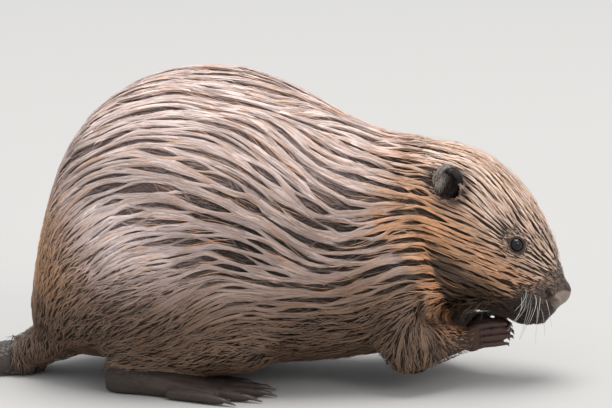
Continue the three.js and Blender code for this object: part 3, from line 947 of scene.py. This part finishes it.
def makePartings():
    rng = np.random.default_rng(11)
    seeds = scatter(partingPlan(skinBody, skinOwner)[:, 0] * partings["tries"], 12)
    place, normal, part = onSkin(seeds)
    body = toBody(place)
    way = lieOfCoat(body, normal, ownerNames[part])
    _, long, wide, apart = partingPlan(body, ownerNames[part]).T
    long = long * rng.uniform(0.4, 1.35, len(long))
    wide = wide * rng.uniform(0.5, 1.35, len(wide))
    apart = apart * rng.uniform(0.5, 2.6, len(apart))
    kept = []
    for i in range(len(seeds)):
        gap = body[kept] - body[i]
        along = np.abs(np.sum(gap * way[i], 1))
        across = np.sqrt(np.maximum(np.sum(gap * gap, 1) - along**2, 0))
        room = wide[kept] + wide[i] + apart[i]
        if not np.any((along < partings["overlap"] * (long[kept] + long[i])) & (across < room)):
            kept.append(i)
    seeds, long, wide = seeds[kept], long[kept], wide[kept]
    half = partings["points"] // 2 + 1
    ahead = follow(seeds, long, 0, half)
    behind = follow(seeds, long, 0, half, backwards=True)
    joined = [np.concatenate([b[:, :0:-1], a], 1) for a, b in zip(ahead, behind)]
    share = np.linspace(-1, 1, 2 * half - 1)
    place, normal, way = [a.reshape(-1, 3) for a in joined]
    print("partings", len(seeds))
    return {
        "tree": pointTree(place),
        "place": place,
        "way": way,
        "across": np.cross(normal, way),
        "share": np.tile(share, len(seeds)),
        "long": np.repeat(long, len(share)) * mm,
        "wide": np.repeat(wide, len(share)) * mm,
    }


gaps = makePartings()


# How far each point lies beside the partings near it, how wide those are there, and which they are.
def besidePartings(flat, nearest=8):
    near = np.array([[found[1] for found in gaps["tree"].find_n(point, nearest)] for point in flat])
    offset = flat[:, None] - gaps["place"][near]
    along = np.sum(offset * gaps["way"][near], 2) / gaps["long"][near] + gaps["share"][near]
    # a parting is widest ahead of its middle and runs out to a long point behind
    profile = np.maximum(1 - along**2, 0) ** 0.75 * (1 - 0.25 * along)
    profile = profile * (np.abs(np.sum(offset * gaps["way"][near], 2)) < 0.2 * gaps["long"][near])
    sideways = np.sum(offset * gaps["across"][near], 2)
    return near // partings["points"], gaps["wide"][near] * profile, sideways, near


# Moves hair sideways out of the partings; a lock stays on the side where it met a parting.
def parted(points, share):
    count, steps = points.shape[:2]
    places = points.copy()
    which, wide, sideways, near = besidePartings(points.reshape(-1, 3))
    which, wide, sideways, near = [a.reshape(count, steps, -1) for a in (which, wide, sideways, near)]
    share = np.broadcast_to(share, (count, steps))
    met = np.full(count, -1)
    side = np.ones(count)
    rows = np.arange(count)
    for i in range(steps):
        here, reach = wide[:, i], sideways[:, i]
        same = (which[:, i] == met[:, None]) & (np.sign(reach) != side[:, None]) & (here > 0)
        reach = np.where(same, 0.05 * mm * side[:, None], reach)
        intrude = np.where(here > 0, here - np.abs(reach), -1)
        left = np.where(reach > 0, intrude, -1).argmax(1)
        right = np.where(reach <= 0, intrude, -1).argmax(1)
        below, above = np.abs(reach[rows, left]), np.abs(reach[rows, right])
        below = np.where((reach[rows, left] > 0) & (here[rows, left] > 0), below, 1)
        above = np.where((reach[rows, right] <= 0) & (here[rows, right] > 0), above, 1)
        room = np.maximum(below + above - here[rows, left] - here[rows, right], 0.6 * mm)
        shift = np.zeros((count, 3))
        for distance, chosen, sign in ((below, left, 1), (above, right, -1)):
            gap = here[rows, chosen]
            margin = np.minimum(partings["margin"] * gap + 0.5 * mm, room / 2)
            pushed = np.where(distance < gap + margin, gap + distance * margin / (gap + margin), distance)
            across = gaps["across"][near[rows, i, chosen]]
            shift += across * ((pushed - distance) * sign * share[:, i])[:, None]
        places[:, i] += shift
        best = np.abs(reach).argmin(1)
        inside = here[rows, best] > 0
        met = np.where(inside, which[rows, i, best], -1)
        side = np.where(reach[rows, best] < 0, -1.0, 1.0)
    return places


# How far the stretches of each lock between its points lie over a parting: those sink into it.
def overPartings(places):
    middles = (places[:, 1:] + places[:, :-1]) / 2
    _, wide, sideways, _ = besidePartings(middles.reshape(-1, 3), 5)
    inside = np.where(wide > 0, 1 - np.abs(sideways) / np.maximum(wide, 0.2 * mm), 0).max(1)
    inside = smooth(0.12, 0.5, inside).reshape(middles.shape[:2])
    edges = np.zeros((len(places), 1))
    return np.maximum(np.hstack([inside, edges]), np.hstack([edges, inside]))


# Locks that would run on under an ear stop at its edge.
def cutShort(places, lengths):
    count, steps = places.shape[:2]
    pace = np.linalg.norm(np.diff(places, axis=1), axis=2)
    stuck = pace < 0.4 * (lengths * mm / (steps - 1))[:, None]
    free = np.where(stuck.any(1), stuck.argmax(1), steps - 1)
    t = np.linspace(0, 1, steps)[None] * np.maximum(free, 0.6)[:, None]
    low = np.clip(np.floor(t).astype(int), 0, steps - 2)
    rows = np.arange(count)[:, None]
    return mix(places[rows, low], places[rows, low + 1], (t - low)[..., None])


# Hair runs round the eyes and not over them.
def clearOfEyes(points):
    flat = points.reshape(-1, 3)
    head = toHead(toBody(flat))
    local, _, along, up = aroundEye(head)
    q = lidDistance(head)
    wanted = 1.0 + q * 0.6 / 1.6
    factor = np.where(q < 1.6, wanted / np.maximum(q, 0.05) - 1, 0)
    moved = (along * local[:, 1:2] + up * local[:, 2:3]) * factor[:, None]
    return (flat + moved @ np.array(headTurn).T * mm).reshape(points.shape)


# An unwrap of the skin round the length of the body, for the patches of the map OFBake.
def unwrap(points):
    low, high = skinCo.min(0), skinCo.max(0)
    body = toBody(points)
    middle = mix(60, 110, smooth(-60, 60, body[:, 0]))
    around = np.arctan2(body[:, 1], body[:, 2] - middle) / (2 * math.pi) + 0.5
    return np.stack([(points[:, 0] - low[0]) / (high[0] - low[0]), around], 1) * 0.99 + 0.005


# One mesh of many alike things: a row of corners for each, and the faces of one of them.
def meshOfMany(name, verts, quads, tris):
    base = (np.arange(len(verts)) * verts.shape[1])[:, None, None]
    quads = (np.array(quads)[None] + base).reshape(-1, 4)
    tris = (np.array(tris)[None] + base).reshape(-1, 3)
    mesh = bpy.data.meshes.new(name)
    mesh.vertices.add(base.size * verts.shape[1])
    mesh.vertices.foreach_set("co", verts.astype(np.float32).ravel())
    mesh.loops.add(quads.size + tris.size)
    mesh.loops.foreach_set("vertex_index", np.concatenate([quads.ravel(), tris.ravel()]).astype(np.int32))
    mesh.polygons.add(len(quads) + len(tris))
    starts = np.concatenate([np.arange(len(quads)) * 4, quads.size + np.arange(len(tris)) * 3])
    mesh.polygons.foreach_set("loop_start", starts.astype(np.int32))
    mesh.polygons.foreach_set("use_smooth", [True] * (len(quads) + len(tris)))
    mesh.update(calc_edges=True)
    return mesh


# One closed mesh of many tapered locks: each has rings of three corners and a point.
def lockMesh(name, rings, tips):
    count, steps = rings.shape[:2]
    verts = np.concatenate([rings.reshape(count, steps * 3, 3), tips[:, None]], 1)
    quads = []
    for i in range(steps - 1):
        for j in range(3):
            a, b = i * 3 + j, i * 3 + (j + 1) % 3
            quads.append((a, b, b + 3, a + 3))
    last, top = (steps - 1) * 3, steps * 3
    ends = [(last, last + 1, top), (last + 1, last + 2, top), (last + 2, last, top), (2, 1, 0)]
    mesh = meshOfMany(name, verts, quads, ends)
    corner = edgeEnds(mesh) % (top + 1)
    rim = np.where(corner == top, -1, corner % 3)
    sharp = (rim.max(1) != 1) & ((rim[:, 0] == rim[:, 1]) | (rim.min(1) < 0))
    mesh.attributes.new("sharp_edge", "BOOLEAN", "EDGE").data.foreach_set("value", sharp)
    return mesh


# Where a corner lies across and along its hair, and the number of the hair, for the grain.
def addStrand(mesh, across, along, number):
    strand = np.stack([across, along * 0.05, number], 1)
    mesh.attributes.new("strand", "FLOAT_VECTOR", "POINT").data.foreach_set("vector", strand.ravel())


def tubeStrand(mesh, count, each, length):
    number = np.repeat(np.random.default_rng(count).uniform(0, 60, count), each)
    across = number + np.tile(np.arange(each) % 6, count) * 0.5
    addStrand(mesh, across, np.tile(np.linspace(0, 1, each), count) * length, number)


# A small patch of the map for each lock, at its root's place, over as many corners as it has.
def addPatches(mesh, roots, local):
    uv = (unwrap(roots)[:, None] + local[None] * 0.003).reshape(-1, 2)
    layer = mesh.uv_layers.new(name="OFBake")
    loops = np.empty(len(mesh.loops), np.int32)
    mesh.loops.foreach_get("vertex_index", loops)
    layer.data.foreach_set("uv", uv[loops].astype(np.float32).ravel())


# Hair is shorter about the eyes, on the muzzle and on the forearms.
def lengthHere(body, owner):
    head = toHead(body)
    length = mix(0.45, 1, smooth(1.2, 3.8, lidDistance(head)))
    length *= mix(0.45, 1, smooth(122, 60, head[:, 0]))
    return length * np.where(owner == "forearm", 0.5, 1)


# The colour at each point of each lock: dark at its root and wherever it sinks into a parting, partly the
# underfur's own colour and partly painted shade.
def lockColours(kindName, roots, tip, deep, layer, stray, sunk, rng):
    count, steps = tip.shape[:2]
    if kindName == "underfur":
        tip = deep * rng.uniform(0.8, 2.1, count)[:, None, None]
    if kindName == "guard":
        rust = np.array(furColours["crease"][0])
        tip = mix(tip * 0.7, rust, rng.uniform(0.3, 0.9, count)[:, None, None])
    tip = tip * (1 - 0.45 * stray[:, None, None])
    tone = np.exp(rng.normal(size=count) * 0.1 + 0.12 * waves(toBody(roots), 24, 8))[:, None, None]
    warm = np.where(rng.random(count) < 0.12, 1, 0)[:, None, None] * np.array([0.02, -0.12, -0.27])
    # locks that lie lower take less of the tip colour: painted shade under the locks above
    share = smooth(0.02, 0.4, np.linspace(0, 1, steps)) * mix(0.8, 1, layer)
    shade = mix(deep, tip * tone * (1 + warm), share[..., None])
    shade = np.clip(mix(shade, deep * 1.6, 0.8 * sunk[..., None]), 0.004, 0.9)
    return np.concatenate([np.repeat(shade[:, :-1], 3, 1), shade[:, -1:]], 1).reshape(-1, 3)


def makeLocks(name, roots, kindName, seed):
    kind = coat[kindName]
    rng = np.random.default_rng(seed)
    count = len(roots)
    steps = kind["steps"]
    finder = wholeSkin if kindName in ("ear", "fringe", "fuzz") else bareEars
    place, _, part = onSkin(roots, finder)
    shorter = lengthHere(toBody(place), ownerNames[part])
    lengths = kind["length"] * rng.uniform(0.65, 1.25, count) * shorter
    place = follow(roots, lengths, kind["ragged"], steps, rng=rng, finder=finder)[0]
    place = cutShort(place, lengths)
    t = np.linspace(0, 1, steps)
    layer = rng.uniform(0.6, 1, count)[:, None]
    stray = np.zeros(count)
    if kindName == "strands":
        stray = np.where(rng.random(count) < partings["strays"], rng.uniform(0.2, 0.6, count), 0)
    sunk = np.zeros((count, steps))
    if kindName in ("body", "strands", "head", "haunch", "under"):
        place = parted(place, 1 - stray[:, None] * smooth(0.3, 0.9, t))
        layer = layer * (1 - 0.25 * stray[:, None])
        sunk = overPartings(place)
    place = clearOfEyes(place)
    place, normals, part = onSkin(place, finder)
    ways = unit(np.gradient(place, axis=1))
    across = unit(np.cross(normals, ways))
    height = kind["height"] * layer * (0.1 + 0.9 * smooth(0, 0.35, t)) * (1 - 0.25 * smooth(0.7, 1, t))
    height = height * (0.4 + 0.6 * shorter[:, None])
    height = height + kind["lift"] * t**2 * rng.uniform(0, 1.4, count)[:, None]
    centre = place + normals * (height * (1 - 0.7 * sunk))[..., None] * mm
    centre[..., 2] = np.maximum(centre[..., 2], 1.2 * mm)  # none below the ground
    taper = 0.5 + 0.5 * smooth(0, 0.3, t[:-1]) - 0.5 * smooth(0.5, 1.1, t[:-1])
    share = rng.uniform(0.55, 1.35, count) * (0.5 + 0.5 * shorter)
    width = kind["width"] * share[:, None] * taper * mm / 2
    left = centre[:, :-1] - across[:, :-1] * width[..., None]
    right = centre[:, :-1] + across[:, :-1] * width[..., None]
    ridge = centre[:, :-1] + normals[:, :-1] * width[..., None] * kind["ridge"] * 2
    rings = np.stack([right, ridge, left], 2)
    colours = zoneColours(toBody(place.reshape(-1, 3)), ownerNames[part].reshape(-1))
    tip, deep = colours.reshape(2, count, steps, 3)
    mesh = lockMesh(name, rings, centre[:, -1])
    addColour(mesh, "hairColour", lockColours(kindName, roots, tip, deep, layer, stray, sunk, rng))
    number = np.repeat(rng.uniform(0, 60, count), (steps - 1) * 3 + 1)
    sideways = np.tile(np.append(np.tile([1.0, 0, -1], steps - 1), 0), count)
    along = np.append(np.repeat(t[:-1], 3), 1)[None] * lengths[:, None]
    addStrand(mesh, number + sideways * kind["width"] * 0.6, along.ravel(), number)
    patch = [(i / (steps - 1) - 0.5, j * 0.45) for i in range(steps - 1) for j in (-1, 0, 1)]
    addPatches(mesh, roots, np.array(patch + [(0.5, 0)]))
    finish(name, mesh, "wet fur")


# How much of each kind of coat grows at each place.
def kindWeights(body, owner):
    x, z = body[:, 0], body[:, 2]
    head = toHead(body)
    u, v, w = head.T
    onHead = (owner == "head") * smooth(-50, -20, u)
    muzzle = onHead * smooth(108, 124, muzzlePlace(head))
    muzzle = np.maximum(muzzle, onHead * smooth(2.6, 1.7, lidDistance(head)))
    calm = calmness(x, z)
    under = smooth(100, 60, z) * (1 - calm)
    clear = 1 - np.isin(owner, ["hand", "hind_foot", "tail", "nose", "ear"])
    clear = clear * smooth(1.02, 1.1, lidDistance(head))
    rest = (1 - onHead) * clear
    pad = padDistance(head)
    ear = owner == "ear"
    lower = np.isin(owner, ["hand", "hind_foot"]) & (skinNormal[:, 2] > 0.1)
    heel = (owner == "hind_foot") * smooth(135, 100, x) + (owner == "hand") * smooth(455, 440, x)
    return {
        "muzzle": muzzle * clear * (pad > 1),
        "head": onHead * (1 - muzzle) * clear,
        "haunch": rest * calm,
        "under": rest * under,
        "body": rest * (1 - calm) * (1 - under),
        "strands": rest * (1 - calm) * (1 - under),
        "ear": ear * mix(0.2, 1, np.minimum(smooth(3, 0, earHollow(head)) + smooth(-14, -20, u), 1)),
        "fringe": ear * (earHollow(head) < 5) * smooth(-12, -17, u + 0.2 * (w - 35)),
        "fuzz": lower * np.clip(heel + 0.12, 0, 1),
        "beard": onHead * smooth(-16, -26, w) * smooth(105, 92, u) * smooth(44, 34, np.abs(v)),
        "guard": rest * smooth(95, 130, z) * smooth(120, 200, x) + onHead * (1 - muzzle) * clear * 0.8,
    }


# Roots of the short dark fur in the depth of the partings.
def underfurRoots():
    rng = np.random.default_rng(31)
    area = np.maximum(gaps["long"] * gaps["wide"], 0) / 5
    count = int(area.sum() * 1e4 * coat["underfur"]["density"])
    pick = rng.choice(len(area), count, p=area / area.sum())
    step = gaps["long"][pick] * rng.uniform(-0.1, 0.1, count)
    reach = gaps["wide"][pick] * rng.uniform(-1, 1, count) * np.maximum(1 - gaps["share"][pick] ** 2, 0)
    return gaps["place"][pick] + gaps["way"][pick] * step[:, None] + gaps["across"][pick] * reach[:, None]


def growCoat():
    weights = kindWeights(skinBody, skinOwner)
    for i, kindName in enumerate([*weights, "underfur"]):
        kind = coat[kindName]
        if kindName == "underfur":
            roots = underfurRoots()
        else:
            roots = scatter(weights[kindName] * kind["density"], 20 + i)
        each = 6 * (kind["steps"] - 2) + 4
        for side, sign in sides.items():
            own = roots[roots[:, 1] * sign > 0]
            pieces = max(1, math.ceil(len(own) * each / trianglesPerPiece))
            order = np.argsort(own[:, 0], kind="stable")
            for j, chunk in enumerate(np.array_split(order, pieces)):
                seed = 1 + 100 * i + 10 * j + sign
                makeLocks(f"coat_{kindName}_{side}_{j + 1}", own[chunk], kindName, seed)
        print("coat", kindName, len(roots), "locks,", len(roots) * each, "triangles")


# Closed, tapered tubes along paths: one ring of corners at each step, and a point at each end.
def tubeMesh(name, paths, radii, ups, flat, corners):
    count, steps = paths.shape[:2]
    ways = unit(np.gradient(paths, axis=1))
    sideways = unit(np.cross(ups, ways))
    above = np.cross(ways, sideways)
    turn = np.arange(corners) * 2 * math.pi / corners
    ring = sideways[:, :, None] * np.cos(turn)[:, None] + above[:, :, None] * (flat * np.sin(turn))[:, None]
    ring = paths[:, :, None] + ring * radii[..., None, None]
    start = paths[:, 0] - ways[:, 0] * radii[:, :1] * 0.5
    end = paths[:, -1] + ways[:, -1] * radii[:, -1:]
    verts = np.concatenate([ring.reshape(count, -1, 3), start[:, None], end[:, None]], 1)
    each = steps * corners + 2
    quads, tris = [], []
    for j in range(corners):
        k = (j + 1) % corners
        for i in range(steps - 1):
            quads.append((i * corners + j, i * corners + k, (i + 1) * corners + k, (i + 1) * corners + j))
        last = (steps - 1) * corners
        tris += [(k, j, each - 2), (last + j, last + k, each - 1)]
    return meshOfMany(name, verts, quads, tris), each


clawLook = {
    "base": (0.035, 0.025, 0.02),
    "tip": (0.10, 0.075, 0.06),
    "steps": 9,
    "corners": 8,
    "thumb": 6,  # length in mm
    "fingerRadius": (1.7, 0.35),  # at the root and the point
    "toeRadius": (3.7, 0.7),
}


# The claws of one hand and one foot: each path runs from inside the flesh to the point.
def makeClaws(name, side):
    t = np.linspace(0, 1, clawLook["steps"])
    paths, radii = [], []
    for i, line in enumerate(fingerLines(side)):
        way = unit(line[-1] - line[-3])
        length = hand["claw"] if i < len(hand["fingers"]) else clawLook["thumb"]
        drop = np.array([0, 0.15 * side, -1.0])
        base = line[-1] - way * 3.2
        paths.append(base + way * ((length + 2.0) * t)[:, None] + drop * (2.6 * t**2)[:, None])
        radii.append(mix(*clawLook["fingerRadius"], t**1.6))
    spin = np.array(Matrix.Rotation(foot["turnOut"] * side, 3, "Z"))
    for share, fan in foot["toes"]:
        fan = math.radians(fan * side)
        way = np.array([math.cos(fan), math.sin(fan), 0])
        base = way * (foot["length"] * share + 5.5) + (-14, 0, 6.2)
        line = base + way * ((foot["claw"] + 7) * t)[:, None] - (0, 0, 1) * (4.0 * t**1.6)[:, None]
        paths.append(line @ spin.T + onSide(side, foot["heel"]))
        radii.append(mix(*clawLook["toeRadius"], t**1.4))
    paths = np.array(paths) * mm + (rump, 0, 0)
    ups = np.zeros_like(paths) + (0, 0, 1.0)
    mesh, each = tubeMesh(f"claws_{name}", paths, np.array(radii) * mm, ups, 0.85, clawLook["corners"])
    lightness = np.linspace(0, 1, each)[:, None] ** 1.6
    tone = mix(np.array(clawLook["base"]), np.array(clawLook["tip"]), lightness)
    addColour(mesh, "hairColour", np.tile(tone, (len(paths), 1)))
    tubeStrand(mesh, len(paths), each, 20)
    finish(mesh.name, mesh, "claw")
    print("claws", name, len(paths))


whiskerLook = {"each": 14, "length": (24, 48), "radius": (0.34, 0.1), "colour": (0.72, 0.70, 0.68)}


def makeWhiskers(name, side):
    rng = np.random.default_rng(40 + side)
    count = whiskerLook["each"]
    u = mix(121, 145, (np.arange(count) % 5) / 4) + rng.uniform(-2.5, 2.5, count)
    w = -2 - 6 * (np.arange(count) // 5) + rng.uniform(-2, 2, count)
    head = np.stack([u, np.full(count, 40.0 * side), w], 1)
    body = head @ np.array(headTurn).T + np.array(anatomy["skullBase"])
    roots, normals, _ = onSkin(body * mm + (rump, 0, 0))
    length = rng.uniform(*whiskerLook["length"], count) * mm
    t = np.linspace(0, 1, 10)
    out = unit(normals + (-0.1, 0, -0.35) + rng.normal(size=(count, 3)) * 0.12)
    fall = np.column_stack([mix(-0.85, 0.15, (u - 121) / 24), np.tile((0.42 * side, -0.85), (count, 1))])
    fall = unit(fall + rng.normal(size=(count, 3)) * (0.16, 0.08, 0.05))
    way = unit(mix(out[:, None], fall[:, None], smooth(0, 0.9, t)[:, None]))
    step = way * (length / (len(t) - 1))[:, None, None]
    paths = roots[:, None] + np.cumsum(step, 1) - step[:, :1]
    radii = np.tile(mix(*whiskerLook["radius"], t) * mm, (count, 1))
    ups = np.zeros_like(paths) + (1.0, 0, 0)
    mesh, each = tubeMesh(f"whiskers_{name}", paths, radii, ups, 1, 5)
    tone = np.array(whiskerLook["colour"]) * rng.uniform(0.35, 1.1, count)[:, None, None]
    addColour(mesh, "hairColour", np.tile(tone, (1, each, 1)).reshape(-1, 3))
    tubeStrand(mesh, count, each, 40)
    patch = [(i / (len(t) - 1) - 0.5, j / 5 - 0.4) for i in range(len(t)) for j in range(5)]
    addPatches(mesh, roots, np.array(patch + [(-0.5, 0), (0.5, 0)]))
    finish(mesh.name, mesh, "whisker")
    print("whiskers", name, count)


eyeLook = {
    "pupil": 0.36,  # angles from the middle of the pupil
    "iris": 0.80,
    "bulge": 0.07,
    "pupilColour": (0.001, 0.001, 0.0012),
    "irisColour": (0.007, 0.005, 0.004),
    "whiteColour": (0.008, 0.006, 0.006),
}


# Pupil, iris and white by the angle from the pupil, with fine fibres, under a clear coat.
def makeEyeMaterial():
    gloss = {"Coat_Weight": 0.6, "Coat_Roughness": 0.12, "Specular_IOR_Level": 0.1}
    material, tree, inputs = newMaterial("eye", **gloss)
    angle = addNode(tree, "ShaderNodeAttribute", {}, attribute_name="fromPupil")["Fac"]
    place = addNode(tree, "ShaderNodeTexCoord", {})["Object"]
    fibre = addNode(tree, "ShaderNodeTexNoise", {"Scale": 900, "Detail": 3, "Vector": place})["Fac"]
    ring = addNode(tree, "ShaderNodeValToRGB", {"Fac": multiplyAdd(tree, fibre, 0.07, angle)})["Color"]
    iris = eyeLook["irisColour"]
    stops = [
        (0, eyeLook["pupilColour"]),
        (eyeLook["pupil"], eyeLook["pupilColour"]),
        (eyeLook["pupil"] + 0.06, iris),
        (eyeLook["iris"] - 0.06, iris),
        (eyeLook["iris"] + 0.04, [c * 0.3 for c in iris]),
        (1, eyeLook["whiteColour"]),
    ]
    elements = ring.node.color_ramp.elements
    while len(elements) < len(stops):
        elements.new(0.5)
    for element, (position, colour) in zip(elements, stops):
        element.position = position
        element.color = (*colour, 1)
    tree.links.new(ring, inputs["Base Color"])
    rough = {"To Min": 0.06, "To Max": 0.16, "Value": fibre}
    tree.links.new(addNode(tree, "ShaderNodeMapRange", rough)["Result"], inputs["Roughness"])
    addBump(tree, inputs, fibre, 0.15, 0.05)
    return material


def makeEye(name, side):
    bm = bmesh.new()
    bmesh.ops.create_uvsphere(bm, u_segments=56, v_segments=40, radius=1)
    pupil = Vector((0, 0, 1))
    turn = pupil.rotation_difference(Vector((0.2, 0.95 * side, 0.22)).normalized())
    centre = Vector(onSide(side, anatomy["eye"]))
    angles = np.array([vert.co.angle(pupil, 0) for vert in bm.verts])
    for vert, angle in zip(bm.verts, angles):
        swell = 1 + eyeLook["bulge"] * float(smooth(0.95, 0.25, angle))
        vert.co = inHead(*(centre + turn @ vert.co * anatomy["eyeRadius"] * swell))
    bmesh.ops.recalc_face_normals(bm, faces=bm.faces)
    piece = fromBmesh(f"eyeball_{name}", bm)
    piece.data.attributes.new("fromPupil", "FLOAT", "POINT").data.foreach_set("value", angles)
    piece.data.materials.append(materials["eye"])
    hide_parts(f"eye_{name}")
    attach(piece, "root")
    print("eye", name)


tailLook = {
    "pitch": (5.6, 5.0),  # of the scales, along and across, in mm
    "place": (-6, -262),  # where they start and end along the body
    "height": 0.8,
    "dark": (0.05, 0.043, 0.038),
    "pale": (0.15, 0.13, 0.115),
    # rings of corners: how far out, how high, and how much higher behind
    "rings": [(1.0, -0.5, 0), (0.94, 0.25, 0.5), (0.62, 0.75, 0.35)],
}


# Six-sided scales in staggered rows over both faces of the tail, each raised at its hind edge.
def makeScales(name, above):
    rng = np.random.default_rng(7 if above else 8)
    long, wide = tailLook["pitch"]
    tree, known = wholeSkin
    places, normals, sizes = [], [], []
    for i, x in enumerate(np.arange(*tailLook["place"], -long)):
        for y in np.arange(-65, 65.1, wide) + (wide / 2 if i % 2 else 0):
            jitter = rng.uniform(-0.5, 0.5, 2)
            start = at(x + jitter[0], y + jitter[1], 90 if above else -20)
            place, normal, face, _ = tree.ray_cast(start, Vector((0, 0, -1 if above else 1)))
            if place is None or skinOwner[known[face][0]] not in ("tail", "tail_root"):
                continue
            if abs(normal.z) > 0.3:
                places.append(place[:])
                normals.append(normal[:])
                sizes.append(rng.uniform(0.9, 1.08) * mix(0.72, 1, smooth(0.3, 0.8, abs(normal.z))))
    places = np.array(places)
    normals = unit(np.array(normals))
    sizes = np.array(sizes)[:, None]
    back = unit(np.array([-1.0, 0, 0]) - normals * -normals[:, :1])
    sideways = np.cross(normals, back)
    verts, local = [], []
    for reach, height, lean in tailLook["rings"]:
        for j in range(6):
            turn = (j + 0.5) * math.pi / 3
            a, b = reach * math.cos(turn) * long * 0.6, reach * math.sin(turn) * wide * 0.6
            rise = (height + lean * math.cos(turn)) * tailLook["height"]
            verts.append(places + (back * a * sizes + sideways * b * sizes + normals * rise) * mm)
            local.append((reach * math.cos(turn) * 0.5, reach * math.sin(turn) * 0.5))
    verts.append(places + normals * 0.9 * tailLook["height"] * mm)
    local.append((0, 0))
    verts = np.stack(verts, 1)
    count = len(places)
    quads = [(0, 5, 4, 3), (0, 3, 2, 1)]
    for ring in (0, 6):
        for j in range(6):
            k = (j + 1) % 6
            quads.append((ring + j, ring + k, ring + 6 + k, ring + 6 + j))
    verts[..., 2] = np.maximum(verts[..., 2], 0.0002)
    mesh = meshOfMany(name, verts, quads, [(12 + j, 12 + (j + 1) % 6, 18) for j in range(6)])
    lightness = np.array([0.75] * 6 + [0.5] * 6 + [0.12] * 6 + [0.0])
    tone = mix(np.array(tailLook["dark"]), np.array(tailLook["pale"]), lightness[:, None])
    mottled = rng.normal(size=(count, 1, 1)) * 0.16 + 0.15 * waves(toBody(places), 60, 2)[:, None, None]
    tone = tone[None] * np.exp(mottled)
    addColour(mesh, "depthColour", tone.reshape(-1, 3))
    addPatches(mesh, places, np.array(local))
    print(name, count, "scales")
    finish(name, mesh, "tail scales")


growCoat()
materials["eye"] = makeEyeMaterial()
for name, side in sides.items():
    makeEye(name, side)
    makeClaws(name, side)
    makeWhiskers(name, side)
makeScales("scales_above", True)
makeScales("scales_below", False)

stageSet = {
    "aim": (276, 0, 174.8),  # the point at the middle of the view
    "azimuth": math.radians(3.4),
    "elevation": math.radians(11.5),
    "distance": 6.0,
    "viewWidth": 0.612,  # metres across the view at the aim
    "floor": (0.45, 0.445, 0.435),
    "worldColour": (0.95, 0.97, 1.0),
    "worldStrength": 0.8,
    "litPoint": (250, 0, 150),
    "lamps": {  # place in metres, size, watts, colour
        "sky": ((0.5, 0.8, 6.5), 4.5, 430, (1, 0.985, 0.96)),
        "front": ((4.0, -4.4, 3.4), 2.6, 105, (1, 0.965, 0.92)),
    },
}


def makeStage():
    scene = bpy.context.scene
    data = bpy.data.cameras.new("camera")
    scene.camera = addObject("camera", data)
    flat = math.cos(stageSet["elevation"])
    right, back = math.sin(stageSet["azimuth"]) * flat, -math.cos(stageSet["azimuth"]) * flat
    toCamera = Vector((right, back, math.sin(stageSet["elevation"])))
    scene.camera.location = at(*stageSet["aim"]) + toCamera * stageSet["distance"]
    scene.camera.rotation_euler = (-toCamera).to_track_quat("-Z", "Y").to_euler()
    data.sensor_width = 36
    data.lens = data.sensor_width * stageSet["distance"] / stageSet["viewWidth"]
    data.clip_end = 100

    bm = bmesh.new()
    bmesh.ops.create_grid(bm, x_segments=1, y_segments=1, size=15)
    floor = fromBmesh("floor", bm)
    floor.data.materials.append(newMaterial("floor", Base_Color=(*stageSet["floor"], 1), Roughness=0.9)[0])

    scene.world = bpy.data.worlds.new("world")
    scene.world.use_nodes = True
    background = scene.world.node_tree.nodes["Background"].inputs
    background["Color"].default_value = (*stageSet["worldColour"], 1)
    background["Strength"].default_value = stageSet["worldStrength"]
    for name, (place, size, watts, colour) in stageSet["lamps"].items():
        lamp = bpy.data.lights.new(name, "AREA")
        lamp.size = size
        lamp.energy = watts
        lamp.color = colour
        holder = addObject(name, lamp)
        holder.location = place
        towards = at(*stageSet["litPoint"]) - Vector(place)
        holder.rotation_euler = towards.to_track_quat("-Z", "Y").to_euler()
    scene.view_settings.view_transform = "Standard"
    print("camera, floor and lamps placed")


makeStage()
